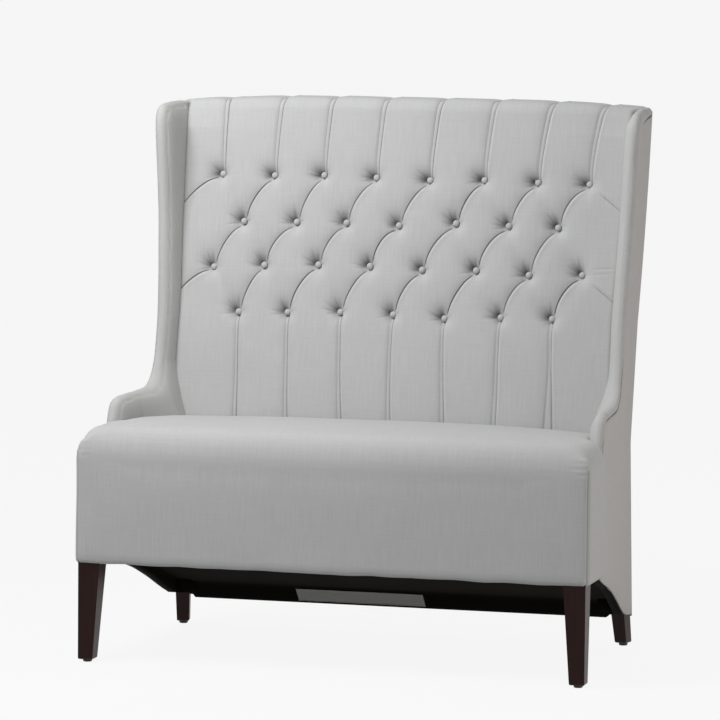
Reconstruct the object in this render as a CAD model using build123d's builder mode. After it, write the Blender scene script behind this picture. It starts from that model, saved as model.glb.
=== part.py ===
from build123d import *
import math
import os

# High back settee for two: low arms running up into wings, a tufted back and a tight
# boxed seat. X runs across the settee, the front faces -Y and Z is up.

# ---------------------------------------------------------------- overall size
overall_width = 1102
overall_depth = 730
overall_height = 1172

# ---------------------------------------------------------------- seat and legs
front_rail_bottom = 213
frame_top = 325
seat_crown_height = 496
seat_back_height = 478
seat_corner_round = 30
front_padding = 8
ear_depth = 143
front_leg_foot = 32
front_leg_top = 47
rear_leg_foot = 27
rear_leg_top = 31
rear_leg_height = 78
rear_leg_turn = 12
rear_leg_rake = 16
rear_leg_splay = 4
rear_leg_inset = 53
rear_leg_setback = 591
glide_height = 6
glide_diameter = 19
foot_edge = 2

# ---------------------------------------------------------------- back and wings
rear_rail_bottom = 62
waist_height = 445
waist_from_front = 562
foot_from_front = 604
back_thickness = 122
tuft_depth = 14
wing_thickness = 30
lip_depth = 12
arm_height = 541
arm_setback = 22
wing_front_low = 454
wing_front_high = 483
wing_top_drop = 12
wing_flare = 25
wing_toe_in = 25
flare_height = 460
side_toe_in = 0.0685
toe_in_end = 515
side_front_gap = 10

# ---------------------------------------------------------------- tufting
button_pitch = 118
button_row_pitch = 98
button_row_count = 4
top_row_drop = 172
button_diameter = 18
button_thickness = 7
tuft_pocket = 26
twine_diameter = 1.8

# ---------------------------------------------------------------- stock sizes
board = 18
rail = 22
post_width = 32
post_depth = 45
cloth = 1.8
card = 2
skin = cloth + card + 0.2
web_width = 50
web_thickness = 1.6
seat_wrap = 5
wire = 3.6
spring_count = 9
spring_width = 46
bolt = 8
bolt_inset = 31
screw = 4
gap = 0.3
bore_clearance = 0.1

# ---------------------------------------------------------------- derived places
half_width = overall_width / 2
frame_half = half_width - front_padding
front = -overall_depth / 2 + front_padding
rear_top = overall_depth / 2
waist_rear = front + waist_from_front
foot_rear = front + foot_from_front
wing_top = overall_height - wing_top_drop
back_slope = (rear_top - waist_rear) / (wing_top - waist_height)
foot_slope = (foot_rear - waist_rear) / (waist_height - rear_rail_bottom)
rake = math.atan(back_slope)
ear_rear = front + ear_depth
side_front = ear_rear + seat_wrap + 2
side_front_x = half_width - side_front_gap
toe_in_y = front + toe_in_end
side_low_x = side_front_x - side_toe_in * (toe_in_y - side_front)
wing_top_x = side_low_x + wing_flare
plan_front_x = side_front_x + side_toe_in * (side_front - front)
plan_rear = rear_top + 40

flare_start = wing_top - flare_height
button_rows = [overall_height - top_row_drop - row * button_row_pitch
               for row in reversed(range(button_row_count))]
long_row_buttons = int(2 * (side_low_x - wing_thickness) / button_pitch)

# Outer face of a side seen from above, low down and at the very top.
side_plan = ((plan_front_x, front), (side_low_x, toe_in_y), (side_low_x - 2, plan_rear))
top_plan = ((plan_front_x, front), (wing_top_x, toe_in_y), (wing_top_x - wing_toe_in, plan_rear))
board_inside = skin + board + gap

# Level of the tufted face on the line where the rear of the settee passes wing_top.
crown_top = rear_top - back_thickness
crown_seat = crown_top - back_slope * (wing_top - seat_back_height)
deck_low = frame_top + 6.5
crown_deck = crown_top - back_slope * (wing_top - deck_low)

# Screws from the wing boards into the side rails and the back posts.
rail_screws = [(front + y, frame_top - 25) for y in (200, 310, 420)]
post_screws = [(waist_rear - 25 + back_slope * (z - waist_height), z) for z in (500, 590, 680)]
screw_length = board + 18
screw_places = []
for y, z in rail_screws + post_screws:
    face_x = side_low_x + side_toe_in * max(0, toe_in_y - y) - skin - 1
    screw_places.append((face_x, y, z))

# ================================================================ legs and feet
# Front leg: plumb on its two outside faces, tapered on the two inside ones.
front_foot_x = frame_half - front_leg_foot / 2
front_foot_y = front + front_leg_foot / 2
with BuildPart() as front_leg_right:
    with BuildSketch(Plane.XY.offset(glide_height)):
        with Locations((front_foot_x, front_foot_y)):
            Rectangle(front_leg_foot, front_leg_foot)
    with BuildSketch(Plane.XY.offset(front_rail_bottom)):
        with Locations((frame_half - front_leg_top / 2, front + front_leg_top / 2)):
            Rectangle(front_leg_top, front_leg_top)
    loft()
    chamfer(front_leg_right.faces().sort_by(Axis.Z)[0].edges(), foot_edge)
    with Locations((frame_half - bolt_inset, front + bolt_inset, front_rail_bottom)):
        Cylinder(bolt / 2 + bore_clearance, 60, mode=Mode.SUBTRACT,
                 align=(Align.CENTER, Align.CENTER, Align.MAX))
    with Locations((front_foot_x, front_foot_y, glide_height)):
        Cylinder(1.5 + bore_clearance, 14, mode=Mode.SUBTRACT,
                 align=(Align.CENTER, Align.CENTER, Align.MIN))

with BuildPart() as front_leg_left:
    mirror(front_leg_right.part, about=Plane.YZ)

# Rear leg: shorter, turned a little on its axis and leaning back and outward.
rear_foot_x = half_width - rear_leg_inset
rear_foot_y = front + rear_leg_setback
rear_head_x = rear_foot_x - rear_leg_splay
rear_head_y = rear_foot_y - rear_leg_rake
with BuildPart() as rear_leg_right:
    with BuildSketch(Plane.XY.offset(glide_height)):
        with Locations((rear_foot_x, rear_foot_y)):
            Rectangle(rear_leg_foot, rear_leg_foot, rotation=-rear_leg_turn)
    with BuildSketch(Plane.XY.offset(rear_leg_height)):
        with Locations((rear_head_x, rear_head_y)):
            Rectangle(rear_leg_top, rear_leg_top, rotation=-rear_leg_turn)
    loft()
    chamfer(rear_leg_right.faces().sort_by(Axis.Z)[0].edges(), foot_edge)
    with Locations((rear_head_x, rear_head_y, rear_leg_height)):
        Cylinder(bolt / 2 + bore_clearance, 40, mode=Mode.SUBTRACT,
                 align=(Align.CENTER, Align.CENTER, Align.MAX))
    with Locations((rear_foot_x, rear_foot_y, glide_height)):
        Cylinder(1.5 + bore_clearance, 14, mode=Mode.SUBTRACT,
                 align=(Align.CENTER, Align.CENTER, Align.MIN))

with BuildPart() as rear_leg_left:
    mirror(rear_leg_right.part, about=Plane.YZ)

# Nail-in glides, one under each leg, each nail standing in its leg.
glide_spots = ((front_foot_x, front_foot_y), (-front_foot_x, front_foot_y),
               (rear_foot_x, rear_foot_y), (-rear_foot_x, rear_foot_y))
with BuildPart() as leg_glides:
    with Locations(*glide_spots):
        Cylinder(glide_diameter / 2, glide_height, align=(Align.CENTER, Align.CENTER, Align.MIN))
    chamfer(leg_glides.faces().sort_by(Axis.Z)[:4].edges(), 1.5)
    with Locations(*[(x, y, glide_height) for x, y in glide_spots]):
        Cylinder(1.5, 13, align=(Align.CENTER, Align.CENTER, Align.MIN))

# ================================================================ seat frame
with BuildPart() as front_rail:
    with Locations((0, front, front_rail_bottom)):
        Box(2 * frame_half, rail, frame_top - front_rail_bottom,
            align=(Align.CENTER, Align.MIN, Align.MIN))

# Corner blocks behind the ends of the front rail; the front leg bolts pass through them.
block_rear = front + 82
block_width = 60
block_height = 58
with BuildPart() as front_corner_blocks:
    with Locations((frame_half - block_width / 2, front + rail, front_rail_bottom),
                   (block_width / 2 - frame_half, front + rail, front_rail_bottom)):
        Box(block_width, block_rear - front - rail, block_height,
            align=(Align.CENTER, Align.MIN, Align.MIN))
    with Locations((frame_half - bolt_inset, front + bolt_inset, front_rail_bottom),
                   (bolt_inset - frame_half, front + bolt_inset, front_rail_bottom)):
        Cylinder(bolt / 2 + bore_clearance, block_height, mode=Mode.SUBTRACT,
                 align=(Align.CENTER, Align.CENTER, Align.MIN))

# Blocks at the sides of the projecting seat front, behind the corner blocks.
with BuildPart() as seat_ear_blocks:
    with Locations((frame_half - rail / 2, block_rear, front_rail_bottom),
                   (rail / 2 - frame_half, block_rear, front_rail_bottom)):
        Box(rail, ear_rear - block_rear, frame_top - front_rail_bottom,
            align=(Align.CENTER, Align.MIN, Align.MIN))

# Side rail: lies inside the wing board, its lower edge dropping toward the rear leg.
side_rail_rear = front + 520
rail_line = [(min(x - board_inside, frame_half - rail - gap), y) for x, y in side_plan]
rail_under = ((block_rear, front_rail_bottom), (side_front, front_rail_bottom),
              (front + 305, front_rail_bottom - 30), (front + 430, front_rail_bottom - 75),
              (side_rail_rear, rear_leg_height + 30))
with BuildPart() as side_rail_right:
    with BuildSketch(Plane.XY):
        with BuildLine():
            Polyline(*rail_line, *[(x - rail, y) for x, y in reversed(rail_line)], close=True)
        make_face()
    extrude(amount=frame_top)
    with BuildSketch(Plane.YZ):
        with BuildLine():
            Polyline(*rail_under, (side_rail_rear, frame_top), (block_rear, frame_top),
                     close=True)
        make_face()
    extrude(amount=half_width, mode=Mode.INTERSECT)
    for place in screw_places[:len(rail_screws)]:
        with Locations(Location(place, (0, -90, 0))):
            Cylinder(screw / 2 + bore_clearance, screw_length + 1, mode=Mode.SUBTRACT,
                     align=(Align.CENTER, Align.CENTER, Align.MIN))

with BuildPart() as side_rail_left:
    mirror(side_rail_right.part, about=Plane.YZ)

# Rear spring rail between the side rails, and a stretcher low under the springs.
spring_rail_front = front + 490
spring_rail_half = side_low_x - board_inside - rail - gap
with BuildPart() as spring_rail:
    with Locations((0, spring_rail_front, frame_top - 70)):
        Box(2 * spring_rail_half, rail, 70, align=(Align.CENTER, Align.MIN, Align.MIN))

with BuildPart() as seat_stretcher:
    with Locations((0, front + rail, front_rail_bottom + 45)):
        Box(45, spring_rail_front - front - rail, 40, align=(Align.CENTER, Align.MIN, Align.MIN))

# ================================================================ back frame
# Rear corner blocks take the rear leg bolts and carry the feet of the back posts.
rear_block_top = rear_leg_height + 60
rear_block_rear = foot_rear - foot_slope * (rear_block_top - rear_rail_bottom) - skin - 1
rear_block_depth = 56
rear_block_x = side_low_x - skin - 27
rear_block_half = 23
with BuildPart() as rear_corner_blocks:
    with Locations((rear_block_x, rear_block_rear, rear_leg_height),
                   (-rear_block_x, rear_block_rear, rear_leg_height)):
        Box(2 * rear_block_half, rear_block_depth, rear_block_top - rear_leg_height,
            align=(Align.CENTER, Align.MAX, Align.MIN))
    with Locations((rear_head_x, rear_head_y, rear_leg_height),
                   (-rear_head_x, rear_head_y, rear_leg_height)):
        Cylinder(bolt / 2 + bore_clearance, rear_block_top - rear_leg_height,
                 mode=Mode.SUBTRACT, align=(Align.CENTER, Align.CENTER, Align.MIN))

# Back post: kicks back below the waist and leans back above it.
post_outer = side_low_x - board_inside - 2
post_head = wing_top - 50
post_back_top = rear_top - back_slope * (wing_top - post_head) - skin - 1
post_back_waist = waist_rear - skin - 1
with BuildPart() as back_post_right:
    with BuildSketch(Plane.YZ.offset(post_outer - post_width)):
        with BuildLine():
            Polyline((rear_block_rear, rear_block_top), (post_back_waist, waist_height),
                     (post_back_top, post_head), (post_back_top - post_depth, post_head),
                     (post_back_waist - post_depth, waist_height),
                     (rear_block_rear - rear_block_depth, rear_block_top), close=True)
        make_face()
    extrude(amount=post_width)
    for place in screw_places[len(rail_screws):]:
        with Locations(Location(place, (0, -90, 0))):
            Cylinder(screw / 2 + bore_clearance, screw_length + 1, mode=Mode.SUBTRACT,
                     align=(Align.CENTER, Align.CENTER, Align.MIN))

with BuildPart() as back_post_left:
    mirror(back_post_right.part, about=Plane.YZ)

# Low rear rail between the corner blocks.
rear_rail_top = rear_block_top
rear_rail_rear = foot_rear - foot_slope * (rear_rail_top - rear_rail_bottom) - skin - 1
with BuildPart() as rear_rail:
    with Locations((0, rear_rail_rear, rear_rail_bottom)):
        Box(2 * (rear_block_x - rear_block_half), rail, rear_rail_top - rear_rail_bottom,
            align=(Align.CENTER, Align.MAX, Align.MIN))

# Rails across the back, above the waist and at the top.
lower_rail_low = waist_height + 12
lower_rail_high = waist_height + 72
lower_low_y = waist_rear + back_slope * (lower_rail_low - waist_height) - skin - 1
lower_high_y = waist_rear + back_slope * (lower_rail_high - waist_height) - skin - 1
with BuildPart() as back_lower_rail:
    with BuildSketch(Plane.YZ):
        with BuildLine():
            Polyline((lower_low_y, lower_rail_low), (lower_high_y, lower_rail_high),
                     (lower_high_y - rail, lower_rail_high), (lower_low_y - rail, lower_rail_low),
                     close=True)
        make_face()
    extrude(amount=post_outer - post_width, both=True)

top_rail_high = wing_top - 12
top_rail_y = rear_top - back_slope * (wing_top - top_rail_high) - skin - 1
with BuildPart() as back_top_rail:
    with BuildSketch(Plane.YZ):
        with BuildLine():
            Polyline((post_back_top, post_head), (top_rail_y, top_rail_high),
                     (top_rail_y - post_depth, top_rail_high),
                     (post_back_top - post_depth, post_head), close=True)
        make_face()
    extrude(amount=post_outer, both=True)

# Centre uprights, one raked in the back and a short one below the waist.
with BuildPart() as back_centre_post:
    with BuildSketch(Plane.YZ):
        with BuildLine():
            Polyline((lower_high_y, lower_rail_high), (post_back_top, post_head),
                     (post_back_top - rail, post_head), (lower_high_y - rail, lower_rail_high),
                     close=True)
        make_face()
    extrude(amount=25, both=True)

with BuildPart() as lower_centre_post:
    with BuildSketch(Plane.YZ):
        with BuildLine():
            Polyline((rear_rail_rear, rear_rail_top), (post_back_waist, waist_height),
                     (lower_low_y, lower_rail_low), (lower_low_y - rail, lower_rail_low),
                     (post_back_waist - rail, waist_height), (rear_rail_rear - rail, rear_rail_top),
                     close=True)
        make_face()
    extrude(amount=25, both=True)

# ================================================================ sides and wings
# Everything on a side is cut from layers of this flared side, measured inward.
layers = {}
for layer, outside, inside in (
    ("cloth", 0, cloth),
    ("card", cloth + 0.1, skin - 0.1),
    ("board", skin, skin + board),
    ("whole", 0, wing_thickness),
    ("core", -20, board_inside + 4 * gap),
    ("lining", board_inside, 100),
):
    low = [(x - outside, y) for x, y in side_plan]
    low += [(x - inside, y) for x, y in reversed(side_plan)]
    top = [(x - outside, y) for x, y in top_plan]
    top += [(x - inside, y) for x, y in reversed(top_plan)]
    with BuildPart() as slab:
        with BuildSketch(Plane.XY):
            with BuildLine():
                Polyline(*low, close=True)
            make_face()
        extrude(amount=flare_start)
        with BuildSketch(Plane.XY.offset(flare_start)):
            with BuildLine():
                Polyline(*low, close=True)
            make_face()
        with BuildSketch(Plane.XY.offset(overall_height + 20)):
            with BuildLine():
                Polyline(*top, close=True)
            make_face()
        loft(ruled=True)
    layers[layer] = slab.part

# Full width between the outside faces, and the width left between the wing linings.
spans = {}
for span, inset in (("full", 0), ("between", wing_thickness + 6 * gap)):
    low = [(x - inset, y) for x, y in side_plan]
    low += [(-x, y) for x, y in reversed(low)]
    top = [(x - inset, y) for x, y in top_plan]
    top += [(-x, y) for x, y in reversed(top)]
    with BuildPart() as slab:
        with BuildSketch(Plane.XY):
            with BuildLine():
                Polyline(*low, close=True)
            make_face()
        extrude(amount=flare_start)
        with BuildSketch(Plane.XY.offset(flare_start)):
            with BuildLine():
                Polyline(*low, close=True)
            make_face()
        with BuildSketch(Plane.XY.offset(overall_height + 20)):
            with BuildLine():
                Polyline(*top, close=True)
            make_face()
        loft(ruled=True)
    spans[span] = slab.part

# Side view of a wing: a low rounded arm in front, the tall wing behind it.
arm_round = 36
wing_round = 42
arm_front = side_front + arm_setback
wing_low = front + wing_front_low
wing_high = front + wing_front_high
with BuildSketch(Plane.YZ) as wing_view:
    with BuildLine():
        Polyline((side_front, -60), (side_front, frame_top + 110),
                 (arm_front, frame_top + 155), (arm_front, arm_height - arm_round))
        ThreePointArc((arm_front, arm_height - arm_round),
                      (arm_front + arm_round * 0.29, arm_height - arm_round * 0.29),
                      (arm_front + arm_round, arm_height))
        Line((arm_front + arm_round, arm_height), (wing_low - 104, arm_height + 2))
        ThreePointArc((wing_low - 104, arm_height + 2), (wing_low - 46, arm_height + 24),
                      (wing_low - 16, arm_height + 84))
        Polyline((wing_low - 16, arm_height + 84), (wing_low, flare_start),
                 (wing_high, flare_start + flare_height / 2),
                 (wing_high, wing_top - wing_round - 6))
        ThreePointArc((wing_high, wing_top - wing_round - 6),
                      (wing_high + wing_round * 0.29, wing_top - wing_round * 0.4),
                      (wing_high + wing_round, wing_top - 5))
        Polyline((wing_high + wing_round, wing_top - 5), (rear_top - 20, wing_top),
                 (rear_top + 60, wing_top), (rear_top + 60, -60), (side_front, -60))
    make_face()

# What lies above the underside curve and in front of the outside back.
side_foot = foot_rear - foot_slope * (rear_leg_height - rear_rail_bottom)
with BuildSketch(Plane.YZ) as side_limit:
    with BuildLine():
        Polyline((front, front_rail_bottom - 8), (side_front, front_rail_bottom - 8),
                 (front + 205, front_rail_bottom - 23), (front + 305, front_rail_bottom - 48),
                 (front + 400, front_rail_bottom - 83), (front + 460, front_rail_bottom - 109),
                 (front + 525, rear_leg_height), (side_foot - skin - gap, rear_leg_height),
                 (waist_rear - skin - gap, waist_height), (rear_top - skin - gap, wing_top),
                 (rear_top - skin - gap, wing_top + 20), (front, wing_top + 20), close=True)
    make_face()

# The board and the outside layers stop short of the padded lip.
with BuildSketch(Plane.YZ) as board_view:
    add(wing_view.sketch_local)
    offset(amount=-lip_depth)
    add(side_limit.sketch_local, mode=Mode.INTERSECT)

with BuildSketch(Plane.YZ) as lip_inside:
    add(wing_view.sketch_local)
    offset(amount=gap - lip_depth)

# Region taken by the posts, rails and webbing of the back, where the wing lining stops.
web_room = 3 * gap + 2 * web_thickness + 1 + 2
lining_stop_y = post_depth + web_room
with BuildSketch(Plane.YZ) as behind_lining:
    with BuildLine():
        Polyline((front + 430, 0), (rear_block_rear - rear_block_depth - gap, rear_block_top),
                 (post_back_waist - lining_stop_y, waist_height),
                 (post_back_top - lining_stop_y, post_head),
                 (top_rail_y - lining_stop_y, top_rail_high + gap),
                 (rear_top + 60, top_rail_high + gap), (rear_top + 60, 0), close=True)
    make_face()

with BuildPart() as lip_core:
    add(layers["core"])
    with BuildSketch(Plane.YZ):
        add(lip_inside.sketch_local)
    extrude(amount=half_width + 60, mode=Mode.INTERSECT)

with BuildPart() as lining_stop:
    add(layers["lining"])
    with BuildSketch(Plane.YZ):
        add(behind_lining.sketch_local)
    extrude(amount=half_width + 60, mode=Mode.INTERSECT)

with BuildPart() as wing_board_right:
    add(layers["board"])
    with BuildSketch(Plane.YZ):
        add(board_view.sketch_local)
    extrude(amount=half_width + 60, mode=Mode.INTERSECT)
    with Locations((half_width, rear_block_rear - rear_block_depth - gap, 0)):
        Box(300, 200, rear_block_top + gap, mode=Mode.SUBTRACT,
            align=(Align.CENTER, Align.MIN, Align.MIN))
    for place in screw_places:
        with Locations(Location(place, (0, -90, 0))):
            Cylinder(screw / 2 + bore_clearance, screw_length + 4, mode=Mode.SUBTRACT,
                     align=(Align.CENTER, Align.CENTER, Align.MIN))
        with Locations(Location((place[0] + 2, place[1], place[2]), (0, -90, 0))):
            Cylinder(4.4, 5, mode=Mode.SUBTRACT, align=(Align.CENTER, Align.CENTER, Align.MIN))

with BuildPart() as wing_board_left:
    mirror(wing_board_right.part, about=Plane.YZ)

with BuildPart() as wing_screws:
    for face_x, y, z in screw_places:
        for side in (1, -1):
            with Locations(Location((side * face_x, y, z), (0, -90 * side, 0))):
                Cylinder(screw / 2, screw_length, align=(Align.CENTER, Align.CENTER, Align.MIN))
                Cylinder(4, 2.4, align=(Align.CENTER, Align.CENTER, Align.MIN))

# Spacers fill the wedge between the flared wing boards and the back posts near the top.
with BuildPart() as wing_spacers:
    with BuildSketch(Plane.YZ.offset(post_outer)):
        with BuildLine():
            Polyline((post_back_top - 6 - back_slope * 60, post_head - 60),
                     (post_back_top - 6, post_head), (post_back_top - post_depth + 4, post_head),
                     (post_back_top - post_depth + 4 - back_slope * 60, post_head - 60),
                     close=True)
        make_face()
    extrude(amount=wing_flare + 12)
    add(lip_core.part, mode=Mode.SUBTRACT)
    mirror(about=Plane.YZ)

# Beside the seat frame the rails stand where the lining would be.
with BuildPart() as low_lining:
    add(layers["lining"])
    with Locations((0, 0, 0)):
        Box(2 * overall_width, 2 * overall_depth, 2 * (frame_top + gap), mode=Mode.INTERSECT)

# Padded lip and inside lining of a wing, one wrapped and sewn layer round the board.
with BuildPart() as wing_pad_right:
    add(layers["whole"])
    with BuildSketch(Plane.YZ):
        add(wing_view.sketch_local)
        add(side_limit.sketch_local, mode=Mode.INTERSECT)
    extrude(amount=half_width + 60, mode=Mode.INTERSECT)
    add(lip_core.part, mode=Mode.SUBTRACT)
    add(lining_stop.part, mode=Mode.SUBTRACT)
    add(low_lining.part, mode=Mode.SUBTRACT)

with BuildPart() as wing_pad_left:
    mirror(wing_pad_right.part, about=Plane.YZ)

# Outside of a side: a fibre card under the cloth, both tacked along the lip seam.
with BuildPart() as side_card_right:
    add(layers["card"])
    with BuildSketch(Plane.YZ):
        add(board_view.sketch_local)
    extrude(amount=half_width + 60, mode=Mode.INTERSECT)

with BuildPart() as side_card_left:
    mirror(side_card_right.part, about=Plane.YZ)

with BuildPart() as outside_panel_right:
    add(layers["cloth"])
    with BuildSketch(Plane.YZ):
        add(board_view.sketch_local)
    extrude(amount=half_width + 60, mode=Mode.INTERSECT)

with BuildPart() as outside_panel_left:
    mirror(outside_panel_right.part, about=Plane.YZ)

# Outside of the back: a card on the posts and rails, and the cloth over it.
back_cap = 13
with BuildPart() as back_card:
    add(spans["full"])
    with BuildSketch(Plane.YZ):
        with BuildLine():
            Polyline((foot_rear - cloth - 0.2, rear_rail_bottom),
                     (waist_rear - cloth - 0.2, waist_height),
                     (rear_top - cloth - 0.2, wing_top - back_cap),
                     (rear_top - skin + 0.1, wing_top - back_cap),
                     (waist_rear - skin + 0.1, waist_height),
                     (foot_rear - skin + 0.1, rear_rail_bottom), close=True)
        make_face()
    extrude(amount=half_width, both=True, mode=Mode.INTERSECT)
    with Locations((half_width, 0, 0), (-half_width, 0, 0)):
        Box(90, 2 * overall_depth, 2 * rear_leg_height, mode=Mode.SUBTRACT)

with BuildPart() as back_outside_panel:
    add(spans["full"])
    with BuildSketch(Plane.YZ):
        with BuildLine():
            Polyline((foot_rear, rear_rail_bottom), (waist_rear, waist_height),
                     (rear_top, wing_top - back_cap), (rear_top - cloth, wing_top - back_cap),
                     (waist_rear - cloth, waist_height), (foot_rear - cloth, rear_rail_bottom),
                     close=True)
        make_face()
    extrude(amount=half_width, both=True, mode=Mode.INTERSECT)

# ================================================================ inside of the back
# The back plane lies at the depth of the buttons, its normal pointing at the sitter.
button_y = crown_top + tuft_depth - back_slope * (wing_top - button_rows[0])
back_plane = Plane(origin=(0, button_y, button_rows[0]), x_dir=(1, 0, 0),
                   z_dir=(0, -math.cos(rake), math.sin(rake)))
button_spots = []
for row, height in enumerate(button_rows):
    count = long_row_buttons if row % 2 else long_row_buttons - 1
    for column in range(count):
        button_spots.append(((column - (count - 1) / 2) * button_pitch,
                             (height - button_rows[0]) / math.cos(rake)))
hole_radius = twine_diameter / 2 + bore_clearance

# Webbing bands cross the back at every row of buttons, with upright bands before them.
web_rear = rear_top - skin - 1 - post_depth - gap
web_front = web_rear - web_thickness
upright_front = web_front - gap - web_thickness
support_front = upright_front - gap - 1
band_rows = [button_rows[0] - 116] + button_rows + [button_rows[-1] + 85]
with BuildPart() as webbing_across:
    for height in band_rows:
        low_y = web_rear - back_slope * (wing_top - height + web_width / 2)
        high_y = web_rear - back_slope * (wing_top - height - web_width / 2)
        with BuildSketch(Plane.YZ):
            with BuildLine():
                Polyline((low_y, height - web_width / 2), (high_y, height + web_width / 2),
                         (high_y - web_thickness, height + web_width / 2),
                         (low_y - web_thickness, height - web_width / 2), close=True)
            make_face()
        extrude(amount=post_outer - 1, both=True)
    with BuildSketch(back_plane):
        with Locations(*button_spots):
            Circle(hole_radius)
    extrude(amount=120, both=True, mode=Mode.SUBTRACT)

band_foot = waist_height + 25
band_head = wing_top - 55
with BuildPart() as webbing_upright:
    low_y = web_front - gap - back_slope * (wing_top - band_foot)
    high_y = web_front - gap - back_slope * (wing_top - band_head)
    for column in range(long_row_buttons - 1):
        column_x = (column - long_row_buttons / 2 + 1) * button_pitch
        with BuildSketch(Plane.YZ.offset(column_x)):
            with BuildLine():
                Polyline((low_y, band_foot), (high_y, band_head),
                         (high_y - web_thickness, band_head), (low_y - web_thickness, band_foot),
                         close=True)
            make_face()
        extrude(amount=web_width / 2, both=True)
    with BuildSketch(back_plane):
        with Locations(*button_spots):
            Circle(hole_radius)
    extrude(amount=120, both=True, mode=Mode.SUBTRACT)

with BuildPart() as back_support_cloth:
    low_y = upright_front - gap - back_slope * (wing_top - band_foot)
    high_y = upright_front - gap - back_slope * (wing_top - band_head)
    with BuildSketch(Plane.YZ):
        with BuildLine():
            Polyline((low_y, band_foot), (high_y, band_head), (high_y - 1, band_head),
                     (low_y - 1, band_foot), close=True)
        make_face()
    extrude(amount=post_outer - 4, both=True)
    with BuildSketch(back_plane):
        with Locations(*button_spots):
            Circle(hole_radius)
    extrude(amount=120, both=True, mode=Mode.SUBTRACT)

# Back foam: a raked slab between the wing linings, from the seat up to the top rail.
back_foot = frame_top + 40
foam_head = wing_top - 10
foam_rear = support_front - gap
with BuildPart() as back_foam:
    add(spans["between"])
    with BuildSketch(Plane.YZ):
        with BuildLine():
            Polyline((crown_top + tuft_depth + gap - back_slope * (wing_top - back_foot), back_foot),
                     (crown_top + tuft_depth + gap - back_slope * (wing_top - foam_head), foam_head),
                     (foam_rear - back_slope * (wing_top - foam_head), foam_head),
                     (foam_rear - back_slope * (wing_top - back_foot), back_foot), close=True)
        make_face()
    extrude(amount=half_width, both=True, mode=Mode.INTERSECT)
    with BuildSketch(back_plane):
        with Locations(*button_spots):
            Circle(hole_radius)
    extrude(amount=120, both=True, mode=Mode.SUBTRACT)

# Tufted cover with its wadding: down behind the seat, and up and over the top rail.
cap_round = 30
with BuildPart() as tufted_cover:
    add(spans["between"])
    with BuildSketch(Plane.YZ):
        with BuildLine():
            low_y = crown_top - back_slope * (wing_top - back_foot)
            round_y = crown_top - back_slope * (wing_top - overall_height + cap_round)
            Line((low_y, back_foot), (round_y, overall_height - cap_round))
            ThreePointArc((round_y, overall_height - cap_round),
                          (round_y + cap_round * 0.34, overall_height - cap_round * 0.27),
                          (round_y + cap_round * 1.1, overall_height))
            Polyline((round_y + cap_round * 1.1, overall_height),
                     (rear_top - 10, overall_height), (rear_top - 1, overall_height - 8),
                     (rear_top - 1, wing_top - back_cap + gap),
                     (rear_top - skin, wing_top - back_cap + gap),
                     (rear_top - skin, foam_head + gap),
                     (crown_top + tuft_depth - back_slope * (wing_top - foam_head - gap),
                      foam_head + gap),
                     (low_y + tuft_depth, back_foot), (low_y, back_foot))
        make_face()
    extrude(amount=half_width, both=True, mode=Mode.INTERSECT)
    with BuildSketch(back_plane.offset(2.5)):
        with Locations(*button_spots):
            Circle(tuft_pocket / 2)
    extrude(amount=60, mode=Mode.SUBTRACT)
    with BuildSketch(back_plane):
        with Locations(*button_spots):
            Circle(hole_radius)
    extrude(amount=60, both=True, mode=Mode.SUBTRACT)

# Cloth-covered buttons, the twine that pulls each one in, and its toggle behind.
button_seat = 2.5 + gap
with BuildPart() as tufting_buttons:
    with BuildSketch(back_plane.offset(button_seat)):
        with Locations(*button_spots):
            Circle(button_diameter / 2)
    extrude(amount=button_thickness)
    fillet(tufting_buttons.edges().filter_by(GeomType.CIRCLE).group_by(Axis.Y)[0], 1)

web_drop = (web_rear - button_y - back_slope * (wing_top - button_rows[0])) * math.cos(rake)
toggle_depth = web_drop + gap
with BuildPart() as button_twines:
    with BuildSketch(back_plane.offset(button_seat)):
        with Locations(*button_spots):
            Circle(twine_diameter / 2)
    extrude(amount=-(toggle_depth + button_seat))

with BuildPart() as twine_toggles:
    with BuildSketch(back_plane.offset(-toggle_depth)):
        with Locations(*button_spots):
            Rectangle(20, 7)
    extrude(amount=-4)

# ================================================================ seat
# Sinuous springs run from the front rail to the spring rail, in clips at both ends.
spring_z = frame_top + 3.4
spring_start = front + 12
spring_end = spring_rail_front + 10
spring_turns = 15
spring_step = (spring_end - spring_start) / spring_turns
spring_pitch = 2 * (spring_rail_half - 40) / (spring_count - 1)
spring_path = [(-spring_width / 2, spring_start)]
for turn in range(spring_turns + 1):
    reach = spring_width / 2 if turn % 2 == 0 else -spring_width / 2
    spring_path.append((reach, spring_start + turn * spring_step))
    if turn < spring_turns:
        spring_path.append((reach, spring_start + (turn + 1) * spring_step))
with BuildPart() as one_spring:
    with BuildLine(Plane.XY.offset(spring_z)) as spring_line:
        FilletPolyline(*spring_path, radius=9)
    with BuildSketch(Plane(origin=spring_line.line @ 0, z_dir=spring_line.line % 0)):
        Circle(wire / 2)
    sweep()

spring_columns = [(column - (spring_count - 1) / 2) * spring_pitch
                  for column in range(spring_count)]
with BuildPart() as seat_springs:
    for x in spring_columns:
        with Locations((x, 0, 0)):
            add(one_spring.part)

with BuildPart() as spring_clips:
    for x in spring_columns:
        for y in (spring_start, spring_end):
            with Locations((x, y, frame_top)):
                Box(26, 13, 6.2, align=(Align.CENTER, Align.CENTER, Align.MIN))
            with Locations(Location((x, y, spring_z), (0, 90, 0))):
                Cylinder(wire / 2 + bore_clearance, 40, mode=Mode.SUBTRACT)

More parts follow.
